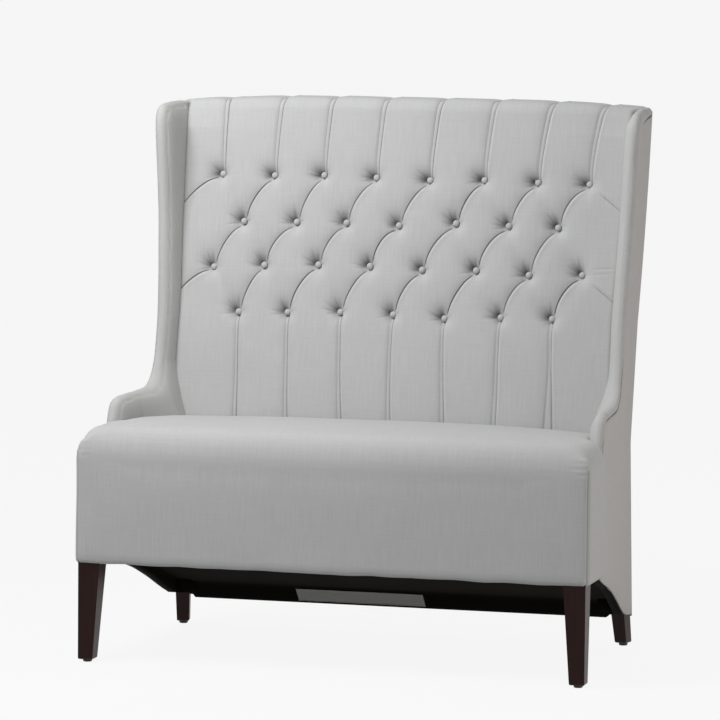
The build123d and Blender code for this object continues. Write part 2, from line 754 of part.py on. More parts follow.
# Cloth over the springs; the seat foam stands on it.
deck_high = deck_low + 1.5
deck_half = side_low_x - wing_thickness - seat_wrap - 4
seat_rear = crown_deck - gap
with BuildPart() as seat_deck:
    with Locations((0, front + 2, deck_low)):
        Box(2 * deck_half, spring_rail_front + rail - front - 2, deck_high - deck_low,
            align=(Align.CENTER, Align.MIN, Align.MIN))

# Seat foam and cover share one plan, a wide front and a body between the arms.
foam_low = deck_high + gap
seat_plans = {}
for part_name, side_wrap, front_wrap in (("outer", 0, 0), ("inner", seat_wrap, front_padding)):
    ear_half = half_width - (front_padding if side_wrap else 0)
    ear_back = ear_rear + (0 if side_wrap else seat_wrap)
    body = [(x - wing_thickness - gap - side_wrap, max(y, ear_back)) for x, y in side_plan]
    body_x = body[0][0] - side_toe_in * (ear_back - front)
    body[0] = (body_x, ear_back)
    start = front - front_padding + front_wrap
    outline = [(ear_half, start), (ear_half, ear_back)] + body
    outline += [(-x, y) for x, y in reversed(outline)]
    seat_plans[part_name] = outline

seat_views = {}
for part_name, wrap in (("outer", 0), ("inner", seat_wrap)):
    front_y = front - front_padding + (front_padding if wrap else 0)
    crown = seat_crown_height - wrap
    rear_z = seat_back_height - wrap
    rear_y = seat_rear + back_slope * (rear_z - deck_low) - wrap
    low_rear_y = seat_rear - wrap
    seat_views[part_name] = (front_y, crown, rear_z, rear_y, low_rear_y)

with BuildPart() as seat_foam:
    front_y, crown, rear_z, rear_y, low_rear_y = seat_views["inner"]
    with BuildSketch(Plane.XY.offset(foam_low)):
        with BuildLine():
            Polyline(*seat_plans["inner"], close=True)
        make_face()
    extrude(amount=300)
    with BuildSketch(Plane.YZ):
        with BuildLine():
            Line((front_y, foam_low), (front_y, crown - seat_corner_round))
            ThreePointArc((front_y, crown - seat_corner_round),
                          (front_y + seat_corner_round * 0.36, crown - seat_corner_round * 0.31),
                          (front_y + seat_corner_round * 1.3, crown - 2))
            ThreePointArc((front_y + seat_corner_round * 1.3, crown - 2),
                          (front_y + 190, crown - 1), (rear_y, rear_z))
            Polyline((rear_y, rear_z), (low_rear_y, foam_low), (front_y, foam_low))
        make_face()
    extrude(amount=half_width, both=True, mode=Mode.INTERSECT)
    with BuildSketch(Plane.XZ):
        with BuildLine():
            Line((-frame_half, foam_low), (-frame_half, crown - seat_corner_round))
            ThreePointArc((-frame_half, crown - seat_corner_round),
                          (-frame_half + seat_corner_round * 0.3, crown - seat_corner_round * 0.3),
                          (-frame_half + seat_corner_round * 1.2, crown - 3))
            ThreePointArc((-frame_half + seat_corner_round * 1.2, crown - 3), (0, crown + 1),
                          (frame_half - seat_corner_round * 1.2, crown - 3))
            ThreePointArc((frame_half - seat_corner_round * 1.2, crown - 3),
                          (frame_half - seat_corner_round * 0.3, crown - seat_corner_round * 0.3),
                          (frame_half, crown - seat_corner_round))
            Polyline((frame_half, crown - seat_corner_round), (frame_half, foam_low),
                     (-frame_half, foam_low))
        make_face()
    extrude(amount=overall_depth, both=True, mode=Mode.INTERSECT)

with BuildPart() as seat_cover:
    front_y, crown, rear_z, rear_y, low_rear_y = seat_views["outer"]
    with BuildSketch(Plane.XY.offset(front_rail_bottom)):
        with BuildLine():
            Polyline(*seat_plans["outer"], close=True)
        make_face()
    extrude(amount=400)
    with BuildSketch(Plane.YZ):
        with BuildLine():
            Line((front_y, front_rail_bottom), (front_y, crown - seat_corner_round))
            ThreePointArc((front_y, crown - seat_corner_round),
                          (front_y + seat_corner_round * 0.36, crown - seat_corner_round * 0.31),
                          (front_y + seat_corner_round * 1.3, crown - 2))
            ThreePointArc((front_y + seat_corner_round * 1.3, crown - 2),
                          (front_y + 190, crown - 1), (rear_y, rear_z))
            Polyline((rear_y, rear_z), (low_rear_y, deck_low), (low_rear_y, front_rail_bottom),
                     (front_y, front_rail_bottom))
        make_face()
    extrude(amount=half_width, both=True, mode=Mode.INTERSECT)
    with BuildSketch(Plane.XZ):
        with BuildLine():
            Line((-half_width, front_rail_bottom), (-half_width, crown - seat_corner_round))
            ThreePointArc((-half_width, crown - seat_corner_round),
                          (-half_width + seat_corner_round * 0.3, crown - seat_corner_round * 0.3),
                          (-half_width + seat_corner_round * 1.2, crown - 3))
            ThreePointArc((-half_width + seat_corner_round * 1.2, crown - 3), (0, crown + 1),
                          (half_width - seat_corner_round * 1.2, crown - 3))
            ThreePointArc((half_width - seat_corner_round * 1.2, crown - 3),
                          (half_width - seat_corner_round * 0.3, crown - seat_corner_round * 0.3),
                          (half_width, crown - seat_corner_round))
            Polyline((half_width, crown - seat_corner_round), (half_width, front_rail_bottom),
                     (-half_width, front_rail_bottom))
        make_face()
    extrude(amount=overall_depth, both=True, mode=Mode.INTERSECT)
    with Locations((0, ear_rear, front_rail_bottom)):
        Box(2 * overall_width, 2 * overall_depth, deck_low - front_rail_bottom + 0.1,
            mode=Mode.SUBTRACT, align=(Align.CENTER, Align.MIN, Align.MIN))
    with Locations((0, front - gap, front_rail_bottom)):
        Box(2 * (frame_half + gap), 2 * overall_depth, foam_low - front_rail_bottom,
            mode=Mode.SUBTRACT, align=(Align.CENTER, Align.MIN, Align.MIN))
    add(seat_foam.part, mode=Mode.SUBTRACT)

# ================================================================ underneath
# Dust cover, stapled under the rails and dropping from the front rail to the rear rail.
dust_half = post_outer - post_width - 2
dust_line = ((front + 2, front_rail_bottom - gap), (side_front, front_rail_bottom - gap),
             (front + 305, front_rail_bottom - 30 - gap), (front + 430, front_rail_bottom - 75 - gap),
             (rear_block_rear - rear_block_depth - 4, rear_leg_height + 26),
             (rear_rail_rear - rail, rear_rail_bottom - gap),
             (rear_rail_rear, rear_rail_bottom - gap))
with BuildPart() as dust_cover:
    with BuildSketch(Plane.YZ):
        with BuildLine():
            Polyline(*dust_line, *[(y, z - 1) for y, z in reversed(dust_line)], close=True)
        make_face()
    extrude(amount=dust_half, both=True)

# Blank cloth tag, stitched flat on the steep part of the dust cover.
tag_top = dust_line[4]
tag_low = dust_line[5]
tag_slope = (tag_low[1] - tag_top[1]) / (tag_low[0] - tag_top[0])
with BuildPart() as blank_tag:
    with BuildSketch(Plane.YZ.offset(-80)):
        with BuildLine():
            Polyline((tag_top[0] + 4, tag_top[1] - 1.2 + 4 * tag_slope),
                     (tag_low[0] - 6, tag_low[1] - 1.2 - 6 * tag_slope),
                     (tag_low[0] - 6, tag_low[1] - 1.9 - 6 * tag_slope),
                     (tag_top[0] + 4, tag_top[1] - 1.9 + 4 * tag_slope), close=True)
        make_face()
    extrude(amount=145, both=True)

# Leg bolts; the front ones carry a washer and nut above the corner block.
front_bolt = 48 + block_height + 12
rear_bolt = 36 + rear_block_top - rear_leg_height - 6
with BuildPart() as leg_bolts:
    with Locations((frame_half - bolt_inset, front + bolt_inset, front_rail_bottom - 48),
                   (bolt_inset - frame_half, front + bolt_inset, front_rail_bottom - 48)):
        Cylinder(bolt / 2, front_bolt, align=(Align.CENTER, Align.CENTER, Align.MIN))
    with Locations((rear_head_x, rear_head_y, rear_leg_height - 36),
                   (-rear_head_x, rear_head_y, rear_leg_height - 36)):
        Cylinder(bolt / 2, rear_bolt, align=(Align.CENTER, Align.CENTER, Align.MIN))

with BuildPart() as leg_nuts:
    for side in (1, -1):
        nut_x = side * (frame_half - bolt_inset)
        with BuildSketch(Plane.XY.offset(front_rail_bottom + block_height)):
            with Locations((nut_x, front + bolt_inset)):
                Circle(9)
        extrude(amount=1.6)
        with BuildSketch(Plane.XY.offset(front_rail_bottom + block_height + 1.6)):
            with Locations((nut_x, front + bolt_inset)):
                RegularPolygon(7.5, 6)
        extrude(amount=6.5)
        with Locations((nut_x, front + bolt_inset, front_rail_bottom + block_height)):
            Cylinder(bolt / 2 + bore_clearance, 20, mode=Mode.SUBTRACT,
                     align=(Align.CENTER, Align.CENTER, Align.MIN))

pieces = {
    "front_leg_left": front_leg_left, "front_leg_right": front_leg_right,
    "rear_leg_left": rear_leg_left, "rear_leg_right": rear_leg_right,
    "leg_glides": leg_glides, "leg_bolts": leg_bolts, "leg_nuts": leg_nuts,
    "front_rail": front_rail, "front_corner_blocks": front_corner_blocks,
    "seat_ear_blocks": seat_ear_blocks, "side_rail_left": side_rail_left,
    "side_rail_right": side_rail_right, "spring_rail": spring_rail,
    "seat_stretcher": seat_stretcher, "rear_corner_blocks": rear_corner_blocks,
    "back_post_left": back_post_left, "back_post_right": back_post_right,
    "rear_rail": rear_rail, "back_lower_rail": back_lower_rail,
    "back_top_rail": back_top_rail, "back_centre_post": back_centre_post,
    "lower_centre_post": lower_centre_post, "wing_board_left": wing_board_left,
    "wing_board_right": wing_board_right, "wing_screws": wing_screws,
    "wing_spacers": wing_spacers, "wing_pad_left": wing_pad_left,
    "wing_pad_right": wing_pad_right, "side_card_left": side_card_left,
    "side_card_right": side_card_right, "outside_panel_left": outside_panel_left,
    "outside_panel_right": outside_panel_right, "back_card": back_card,
    "back_outside_panel": back_outside_panel, "webbing_across": webbing_across,
    "webbing_upright": webbing_upright, "back_support_cloth": back_support_cloth,
    "back_foam": back_foam, "tufted_cover": tufted_cover,
    "tufting_buttons": tufting_buttons, "button_twines": button_twines,
    "twine_toggles": twine_toggles, "seat_springs": seat_springs,
    "spring_clips": spring_clips, "seat_deck": seat_deck, "seat_foam": seat_foam,
    "seat_cover": seat_cover, "dust_cover": dust_cover, "blank_tag": blank_tag,
}
os.makedirs("parts", exist_ok=True)
for label, piece in pieces.items():
    piece.part.label = label
    export_step(piece.part, f"parts/{label}.step")
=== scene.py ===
# A high back settee in pale grey linen: tufted back, slim wings, tight seat and dark tapered legs.
import math

import bmesh
import bpy
import numpy as np
from mathutils import Matrix, Vector, noise
from mathutils.bvhtree import BVHTree


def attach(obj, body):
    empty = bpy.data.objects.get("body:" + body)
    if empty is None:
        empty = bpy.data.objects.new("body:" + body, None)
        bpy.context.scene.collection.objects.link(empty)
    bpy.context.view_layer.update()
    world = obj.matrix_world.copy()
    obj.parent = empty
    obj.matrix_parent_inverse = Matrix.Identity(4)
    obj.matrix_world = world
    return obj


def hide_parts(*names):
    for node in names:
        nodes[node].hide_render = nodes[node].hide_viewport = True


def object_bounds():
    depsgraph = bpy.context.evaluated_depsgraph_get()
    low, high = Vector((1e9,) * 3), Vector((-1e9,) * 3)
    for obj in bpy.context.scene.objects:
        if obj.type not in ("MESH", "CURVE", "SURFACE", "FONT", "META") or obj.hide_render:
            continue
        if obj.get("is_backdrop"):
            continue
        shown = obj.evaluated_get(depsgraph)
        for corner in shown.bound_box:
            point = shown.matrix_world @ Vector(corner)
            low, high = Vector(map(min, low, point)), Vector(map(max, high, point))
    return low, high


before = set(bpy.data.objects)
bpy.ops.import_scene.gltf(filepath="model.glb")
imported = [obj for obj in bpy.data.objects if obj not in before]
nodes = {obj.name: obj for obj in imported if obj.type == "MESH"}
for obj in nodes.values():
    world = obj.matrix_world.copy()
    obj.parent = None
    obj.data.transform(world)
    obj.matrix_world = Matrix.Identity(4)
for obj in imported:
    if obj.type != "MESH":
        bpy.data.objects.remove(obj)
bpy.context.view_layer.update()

# ============================================================ studio
# A long lens looks slightly down on the settee from its right, as in the photograph.
# Floor and backdrop are one pale sheet, lit softly from the upper left.
turn, tilt, roll = math.radians(15.31), math.radians(5.32), math.radians(0.53)
aim, reach = Vector((-0.0316, -0.007, 0.6221)), 9.5771
back_axis = Vector((math.sin(turn) * math.cos(tilt), -math.cos(turn) * math.cos(tilt), math.sin(tilt)))
level = (-back_axis).cross(Vector((0, 0, 1))).normalized()
upward = level.cross(-back_axis)
across_axis = level * math.cos(roll) + upward * math.sin(roll)
up_axis = upward * math.cos(roll) - level * math.sin(roll)
lens = bpy.data.cameras.new("camera")
lens.lens, lens.sensor_width, lens.clip_end = 225, 36, 200
camera = bpy.data.objects.new("camera", lens)
camera.matrix_world = Matrix.Translation(aim + back_axis * reach) @ Matrix(
    (across_axis, up_axis, back_axis)).transposed().to_4x4()
bpy.context.scene.collection.objects.link(camera)
bpy.context.scene.camera = camera
bpy.context.scene.view_settings.view_transform = "Standard"


class Wire:
    """An output of a material's node, so that sums on patterns read as plain arithmetic."""

    def __init__(self, tree, socket=None):
        self.tree, self.socket = tree, socket

    def node(self, kind, settings=None, sockets=None, output=0):
        made = self.tree.nodes.new(kind)
        for name, value in (settings or {}).items():
            if name == "stops":
                while len(made.color_ramp.elements) < len(value):
                    made.color_ramp.elements.new(1)
                for stop, (place, grey) in zip(made.color_ramp.elements, value):
                    stop.position, stop.color = place, (grey, grey, grey, 1)
            else:
                setattr(made, name, value)
        for name, value in (sockets or {}).items():
            if isinstance(value, Wire):
                self.tree.links.new(value.socket, made.inputs[name])
            else:
                made.inputs[name].default_value = value
        return Wire(self.tree, made.outputs[output])

    def sum_of(self, operation, first, second):
        return self.node("ShaderNodeMath", {"operation": operation}, {0: first, 1: second})

    def __add__(self, other):
        return self.sum_of("ADD", self, other)

    def __sub__(self, other):
        return self.sum_of("SUBTRACT", self, other)

    def __rsub__(self, other):
        return self.sum_of("SUBTRACT", other, self)

    def __mul__(self, other):
        return self.sum_of("MULTIPLY", self, other)

    def specks(self, spot, scale, **sockets):
        return self.node("ShaderNodeTexNoise", None, {"Vector": spot, "Scale": scale, **sockets})

    def mixed(self, level, first, second):
        return self.node("ShaderNodeMix", {"data_type": "RGBA", "clamp_factor": True},
                         {0: level, 6: first, 7: second}, 2)

    def bumped(self, height, strength, distance):
        return self.node("ShaderNodeBump", None,
                         {"Height": height, "Strength": strength, "Distance": distance})


def material_of(name):
    """A new material with its node tree emptied, and a wire to build it from."""
    made = bpy.data.materials.new(name)
    made.use_nodes = True
    made.node_tree.nodes.clear()
    return made, Wire(made.node_tree)


def toned(tone, share):
    return tuple(min(1, value * share) for value in tone) + (1,)


def show(wire, shader):
    made = wire.tree.nodes.new("ShaderNodeOutputMaterial")
    wire.tree.links.new(shader.socket, made.inputs["Surface"])


def object_from(mesh, name):
    """Turns a bmesh into an object of the scene, with its data of the same name."""
    data = bpy.data.meshes.new(name)
    mesh.to_mesh(data)
    mesh.free()
    made = bpy.data.objects.new(name, data)
    bpy.context.scene.collection.objects.link(made)
    return made


sheet_mesh = bmesh.new()
bmesh.ops.create_grid(sheet_mesh, x_segments=8, y_segments=8, size=150)
floor = object_from(sheet_mesh, "floor")
floor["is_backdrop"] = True

floor_paper, wire = material_of("floor_paper")
eye = wire.node("ShaderNodeLightPath", output=0)
shine = wire.node("ShaderNodeLightPath", output=3)
paper = wire.node("ShaderNodeBsdfDiffuse", None, {"Color": (0.50, 0.50, 0.50, 1)})
glow = wire.node("ShaderNodeEmission", None, {"Color": (1, 1, 1, 1), "Strength": 1.0})
show(wire, wire.node("ShaderNodeMixShader", None, {0: (eye + shine) * 0.9, 1: paper, 2: glow}))
floor.data.materials.append(floor_paper)

sky = bpy.data.worlds.new("studio")
bpy.context.scene.world = sky
sky.use_nodes = True
sky.node_tree.nodes.clear()
wire = Wire(sky.node_tree)
seen = wire.node("ShaderNodeLightPath", output=0) + wire.node("ShaderNodeLightPath", output=3)
soft = wire.node("ShaderNodeBackground", None, {"Color": (0.99, 0.995, 1, 1), "Strength": 0.365})
blank = wire.node("ShaderNodeBackground", None, {"Color": (1, 1, 1, 1), "Strength": 1.0})
both = wire.node("ShaderNodeMixShader", None, {0: seen, 1: soft, 2: blank})
world_end = sky.node_tree.nodes.new("ShaderNodeOutputWorld")
sky.node_tree.links.new(both.socket, world_end.inputs["Surface"])

lamps = (("key", (-0.85, -1.2, 2.4), 1.0, 44, (1, 1, 1)),
         ("fill", (3.0, -0.2, 0.35), 1.0, 22, (1, 0.94, 0.88)))
for lamp_name, place, wide, watts, colour in lamps:
    lamp_data = bpy.data.lights.new(lamp_name, "AREA")
    lamp_data.size, lamp_data.energy, lamp_data.color = wide, watts, colour
    lamp = bpy.data.objects.new(lamp_name, lamp_data)
    away_from_seat = Vector(place) - Vector((0, 0, 0.7))
    lamp.matrix_world = (Matrix.Translation(place)
                         @ away_from_seat.to_track_quat("Z", "Y").to_matrix().to_4x4())
    bpy.context.scene.collection.objects.link(lamp)


# ============================================================ tufted back
# One piece of linen over thick foam, folded to pleats and held down by thirty buttons.
# It comes up from behind the seat, turns over the top rail and is tacked behind it.
def linen(name, tone, lines=()):
    """Pale grey linen of uneven thread, on the cover's own cut in metres, with shade painted into its
    colour along creases, seams and dimples.
    """
    made, wire = material_of(name)
    cut = wire.node("ShaderNodeUVMap", {"uv_map": "cut"})

    def threads(across, along, detail=2.0):
        spread = wire.node("ShaderNodeMapping", None, {"Vector": cut, "Scale": (across, along, 1)})
        return wire.specks(spread, 1.0, Detail=detail, Roughness=0.6)

    warp_slubs = threads(330, 14)
    weft_slubs = threads(14, 330)
    warp_fine = threads(1100, 60)
    weft_fine = threads(60, 1100)
    cloud = threads(9, 6, 3)
    weave = (warp_fine + weft_fine) * 0.5
    shade = (0.5 - warp_slubs) * 0.46 + (0.5 - weft_slubs) * 0.30 + (0.5 - weave) * 0.24
    level = shade + (0.5 - cloud) * 0.16 + 0.5
    colour = wire.mixed(level, toned(tone, 0.80), toned(tone, 1.20))
    # Painted shade: the colour is drawn towards a near black linen along the crease and seam lines
    # written on the mesh, and in its dimples and edges, for the shadow inside them.
    if lines:
        line = wire.node("ShaderNodeAttribute", {"attribute_name": "pit"}, None, 2)
        for word, middle, wide, share in lines:
            pattern = wire.node("ShaderNodeAttribute", {"attribute_name": word}, None, 2)
            depth = wire.node("ShaderNodeAttribute", {"attribute_name": word + "_deep"}, None, 2)
            off = (pattern - middle) * (1 / wide)
            line = line + wire.sum_of("EXPONENT", 0 - off * off, 0) * depth * share
        colour = wire.mixed(line, colour, toned(tone, 0.12))
    height = warp_slubs * 0.5 + weft_slubs * 0.5 + weave
    show(wire, wire.node("ShaderNodeBsdfPrincipled", None, {
        "Base Color": colour, "Roughness": 0.92, "Specular IOR Level": 0.2,
        "Sheen Weight": 0.12, "Sheen Roughness": 0.5, "Normal": wire.bumped(height, 0.35, 0.0006)}))
    return made


def rounded_path(corners, step):
    """Even points along straight runs joined by arcs, and the outward normal at each."""
    line = [Vector(corners[0][:2])]
    for before, corner, after in zip(corners, corners[1:], corners[2:]):
        here, radius = Vector(corner[:2]), corner[2]
        back_way = (Vector(before[:2]) - here).normalized()
        next_way = (Vector(after[:2]) - here).normalized()
        half = back_way.angle(next_way) / 2
        reach = radius / math.tan(half)
        middle = here + (back_way + next_way).normalized() * radius / math.sin(half)
        first, last = here + back_way * reach - middle, here + next_way * reach - middle
        swing = first.angle_signed(last)
        line += [middle + Matrix.Rotation(-swing * part / 16, 2) @ first for part in range(17)]
    line.append(Vector(corners[-1][:2]))
    line = np.array(line)
    length = np.r_[0, np.cumsum(np.hypot(*np.diff(line, axis=0).T))]
    places = np.linspace(0, length[-1], int(length[-1] / step) + 1)
    points = np.stack([np.interp(places, length, line[:, axis]) for axis in (0, 1)], 1)
    along = np.gradient(points, places, axis=0)
    normals = np.stack([-along[:, 1], along[:, 0]], 1) / np.hypot(*along.T)[:, None]
    return places, points, normals


def beside(path, spots):
    """How far each spot lies to the right of a path, and how far along the path."""
    start, step = path[:-1], np.diff(path, axis=0)
    gap = spots[:, None] - start
    share = np.clip((gap * step).sum(2) / (step ** 2).sum(1), 0, 1)
    away = gap - share[..., None] * step
    distance = np.hypot(away[..., 0], away[..., 1])
    near = distance.argmin(1)
    each = np.arange(len(spots))
    side = step[near, 1] * away[each, near, 0] - step[near, 0] * away[each, near, 1]
    return np.copysign(distance[each, near], side), (near + share[each, near]) / len(step)


def bend(start, control, end):
    part = np.linspace(0, 1, 16)[:, None]
    return (1 - part) ** 2 * start + 2 * part * (1 - part) * control + part ** 2 * end


def written(data, words):
    """Writes one number for each point of a mesh under each word, for a material to read."""
    for word, values in words.items():
        data.attributes.new(word, "FLOAT", "POINT").data.foreach_set("value", values)


linen_grey = (0.50, 0.505, 0.50)
crown_top, wing_top, slope = 0.243, 1.160, 0.2238
rake = math.atan(slope)
row_heights = (0.706, 0.804, 0.902, 1.000)
pitch, row_pitch = 0.118, 0.098 / math.cos(rake)
back_bottom = 0.440


def crown_y(z):
    return crown_top - slope * (wing_top - z)


def side_x(y, z):
    """Outer face of a side: it toes in towards the rear and flares out towards the top."""
    behind = np.maximum(y - 0.158, 0) / 0.247
    low = 0.541 - 0.0685 * (np.minimum(y, 0.158) + 0.207) - 0.002 * behind
    top = 0.5513 - 0.020 * (np.minimum(y, 0.158) + 0.357) - 0.025 * behind
    return low + (top - low) * np.clip((z - 0.700) / 0.492, 0, 1)


back_corners = ((crown_y(back_bottom), back_bottom, 0), (crown_y(1.1705), 1.1705, 0.036),
                (0.362, 1.1705, 0.014), (0.362, 1.143, 0))
places, points, normals = rounded_path(back_corners, 0.002)
row_zero = (row_heights[0] - back_bottom) / math.cos(rake)

# Hand tufting leaves each button a few millimetres off the even grid, across and up.
sway = (((3, -3), (-4, -1), (-3, 3), (-3, 1), (-6, -4), (0, 2), (-5, 2)),
        ((-1, -6), (-5, 1), (-1, 5), (-3, 5), (-4, 0), (-2, 2), (-3, -5), (-4, -2)),
        ((1, -4), (3, -3), (-3, -2), (-3, -5), (6, 3), (5, 0), (-4, -1)),
        ((5, -1), (5, -2), (-1, 1), (-1, -2), (1, -5), (4, -2), (5, -5), (0, -6)))
rng = np.random.default_rng(7)
buttons = []
for row, shifts in enumerate(sway):
    for column, (aside, up) in enumerate(shifts):
        buttons.append(((column - (len(shifts) - 1) / 2) * pitch + aside / 1000,
                        row * row_pitch + up / 1000, row, column, len(shifts)))
button_at = {(row, column): np.array((x, up)) for x, up, row, column, _ in buttons}

cover = bmesh.new()
bmesh.ops.create_grid(cover, x_segments=520, y_segments=430, size=1)
count = len(cover.verts)
flat = np.array([vertex.co[:2] for vertex in cover.verts])
q = (flat[:, 1] + 1) / 2 * places[-1]
path_y = np.interp(q, places, points[:, 0])
path_z = np.interp(q, places, points[:, 1])
normal_y = np.interp(q, places, normals[:, 0])
normal_z = np.interp(q, places, normals[:, 1])
on_top = np.clip((path_y - 0.250) / 0.03, 0, 1)
half = side_x(path_y, path_z) - 0.0290 + 0.019 * on_top
s = flat[:, 0] * half
t = q - row_zero
spots = np.stack([s, t], 1)
height = np.zeros(count)
marks = {"fold": np.full(count, 1.0), "fold_deep": np.zeros(count),
         "pleat": np.full(count, 9.0), "pleat_deep": np.zeros(count), "pit": np.zeros(count)}


def near(path, margin):
    low, high = path.min(0) - margin, path.max(0) + margin
    return np.nonzero(((spots > low) & (spots < high)).all(1))[0]


def fold(path, deep, dark, ends=(0.08, 0.05)):
    """A lapped pleat: the cloth sinks slowly into it on its left and rolls out of it on its right, and
    its crease gets a line of painted shade.
    """
    crisp, soft = 0.0042, 0.013
    here = near(path, 0.05)
    away, along = beside(path, spots[here])
    inside = np.clip(along / ends[0], 0, 1) * np.clip((1 - along) / ends[1], 0, 1)
    swell = 0.6 + 0.4 * np.sin(math.pi * along)
    rise = np.where(away > 0, np.exp(-(away / crisp) ** 2), np.exp(-np.abs(away) / soft))
    lip = np.exp(-((away - 0.0062) / 0.0026) ** 2) * 0.0011
    height[here] -= (deep * rise - lip) * inside * swell
    closer = np.abs(away) < np.abs(marks["fold"][here])
    chosen, away, inside, swell = here[closer], away[closer], inside[closer], swell[closer]
    marks["fold"][chosen] = away
    # How dark the line of painted shade along the crease is, strongest towards the middle of the fold.
    marks["fold_deep"][chosen] = dark * inside * swell * np.clip(1.6 - np.abs(away) / 0.005, 0, 1)


def valley(path, deep, wide, ends=0.0):
    here = near(path, 3 * wide)
    away, along = beside(path, spots[here])
    inside = np.clip(np.minimum(along, 1 - along) / ends, 0, 1) if ends else 1
    height[here] -= deep * np.exp(-(away / wide) ** 2) * inside


def pleat(path, narrow, broad, deep, dark):
    """A straight pleat: a narrow band of cloth lying between two tucked lines, each given a line of
    painted shade.
    """
    here = near(path, 0.05)
    away, along = beside(path, spots[here])
    band = narrow + (broad - narrow) * np.clip(along * 1.6, 0, 1)
    left, right = -away - band, away - band
    rise = np.where(left > 0, np.exp(-left / 0.011),
                    np.where(right > 0, np.exp(-(right / 0.004) ** 2), 1))
    height[here] -= deep * rise
    height[here] -= 0.0012 * np.exp(-(left / 0.0019) ** 2) + 0.0018 * np.exp(-(right / 0.0019) ** 2)
    height[here] += 0.0009 * np.exp(-((right - 0.0055) / 0.0026) ** 2)
    chosen = np.abs(away) < 0.02
    marks["pleat"][here[chosen]] = (away / band)[chosen]
    # How dark the painted shade along the two tucked lines is.
    marks["pleat_deep"][here[chosen]] = dark * np.clip(2.4 - np.abs(away / band)[chosen], 0, 1)


# Pleats from each button to the next one up on its right, and soft valleys up to its left.
for x, up, row, column, in_row in buttons:
    here = np.array((x, up))
    shift = 0 if in_row == 8 else 1
    target = button_at.get((row + 1, column + shift))
    if target is not None:
        wander = rng.uniform(-0.003, 0.003, 2)
        fold(bend(here + (0.004, 0.008), here + (0.017, 0.066) + wander, target - (0.005, 0.006)),
             rng.uniform(0.0054, 0.0072), rng.uniform(0.95, 1.35))
        valley(np.array((here, target)), 0.0018, 0.020)
    target = button_at.get((row + 1, column + shift - 1)) if column + shift > 0 else None
    if target is not None:
        valley(np.linspace(here, target, 3), 0.0026, 0.016)
    if in_row == 8 and column == 0:
        edge = here + (-0.082, -0.064)
        fold(bend(edge, here + (-0.045, -0.014), here - (0.006, 0.003)), 0.0050, 1.2, ends=(0.01, 0.1))
    if in_row == 8 and column == 7:
        stop = here + (0.086, -0.064)
        fold(np.linspace(stop, here + (0.019, -0.012), 9), 0.0010, 0.42, ends=(0.01, 0.3))

# Straight pleats run from the top row over the top rail, leaning a little more towards the
# right-hand side, and from the bottom row down behind the seat.
top_lean = (-0.004, 0.005, 0.006, 0.008, 0.011, 0.012, 0.018, 0.019)
foot_lean = (0.008, 0.013, 0.015, 0.005, 0.009, -0.002, 0.006)
for x, up, row, column, in_row in buttons:
    if row == 3:
        climb = np.array((0.006, 0.03, 0.06, 0.09, 0.12, 0.145, 0.165, 0.18, 0.20, 0.23, 0.27, 0.32))
        lean = top_lean[column] * np.clip(climb / 0.175, 0, 1.2) ** 1.7
        path = np.stack([x + 0.002 + lean, up + climb], 1)
        pleat(path, 0.0030, 0.0048, 0.0042, rng.uniform(0.55, 0.85))
    if row == 0:
        climb = np.linspace(0.006, 0.27, 9)
        lean = foot_lean[column] * (climb / 0.235) + 0.0015 * np.sin(climb * 15 + column)
        path = np.stack([x - 0.001 + lean, up - climb], 1)
        pleat(path[::-1], 0.0105 if column == 6 else 0.0046, 0.0030, 0.0036, rng.uniform(0.5, 0.8))

# Every button sits at the lower right of a dimple, with short gathers fanning out of it; shade is
# painted into the upper left of each dimple and along the gathers.
for x, up, row, column, in_row in buttons:
    here = near(np.array(((x, up),)), 0.08)
    away = spots[here] - (x - 0.002, up + 0.002)
    radius = np.hypot(away[:, 0], away[:, 1])
    angle = np.arctan2(away[:, 1], away[:, 0])
    fan = math.radians(150 if row == 3 else 122)
    spread = 0.0115 + 0.0125 * np.clip(np.cos(angle - fan), 0, 1) ** 1.3
    funnel = np.exp(-(radius / spread) ** 1.25)
    height[here] -= 0.0185 * funnel
    # Painted shade in the dimple, heaviest on its upper left side and next to the button.
    towards = np.clip(np.cos(angle - fan), 0, 1)
    shaded = (0.14 + 0.62 * towards) * funnel ** 1.6 + 0.5 * towards * np.exp(-(radius / 0.012) ** 2)
    marks["pit"][here] = np.maximum(marks["pit"][here], shaded)
    rays = (163, 178, 193, 12, 348, 140) if row == 3 else (92, 112, 130, 149, 170, 190, 15)
    for ray in rays:
        ray = math.radians(ray) + rng.uniform(-0.13, 0.13)
        reach = rng.uniform(0.024, 0.044) * (0.6 if abs(ray) < 1 or ray > 5 else 1)
        swing = np.abs((angle - ray + math.pi) % (2 * math.pi) - math.pi)
        fade = np.clip((radius - 0.006) / 0.005, 0, 1) * np.clip((reach - radius) / 0.020, 0, 1)
        crease = np.exp(-(swing * radius / 0.0019) ** 2) * fade * (swing < 1)
        height[here] -= 0.0017 * crease
        # Each gather also gets a little painted shade.
        marks["pit"][here] += 0.20 * crease

# Two faint wrinkles run out to the right wing from the last button of the second row.
for rise in (0.003, 0.014):
    start = button_at[1, 7] + (0.018, rise)
    valley(np.linspace(start, start + (0.062, 0.004), 6), 0.0011, 0.0026, ends=0.3)

edge = half - np.abs(s)
rolled = np.clip((0.014 - edge) / 0.014, 0, 1)
height -= 0.013 * (1 - np.sqrt(1 - rolled ** 2)) * (1 - 0.5 * on_top)
# Painted shade along both side edges where the back meets the wings, heavier on the left.
marks["pit"] += np.where(s < 0, 0.8, 0.4) * np.exp(-(edge / 0.0055) ** 2) * (1 - on_top)
height -= 0.011 * (np.abs(s) / 0.50) ** 4 * np.clip((path_z - 1.10) / 0.05, 0, 1)
height -= 0.011 * np.clip((0.67 - path_z) / 0.19, 0, 1.1) ** 1.6 * (path_y < 0.2)
height += np.array([noise.noise((a * 9, b * 9, 3)) for a, b in spots]) * 0.0014

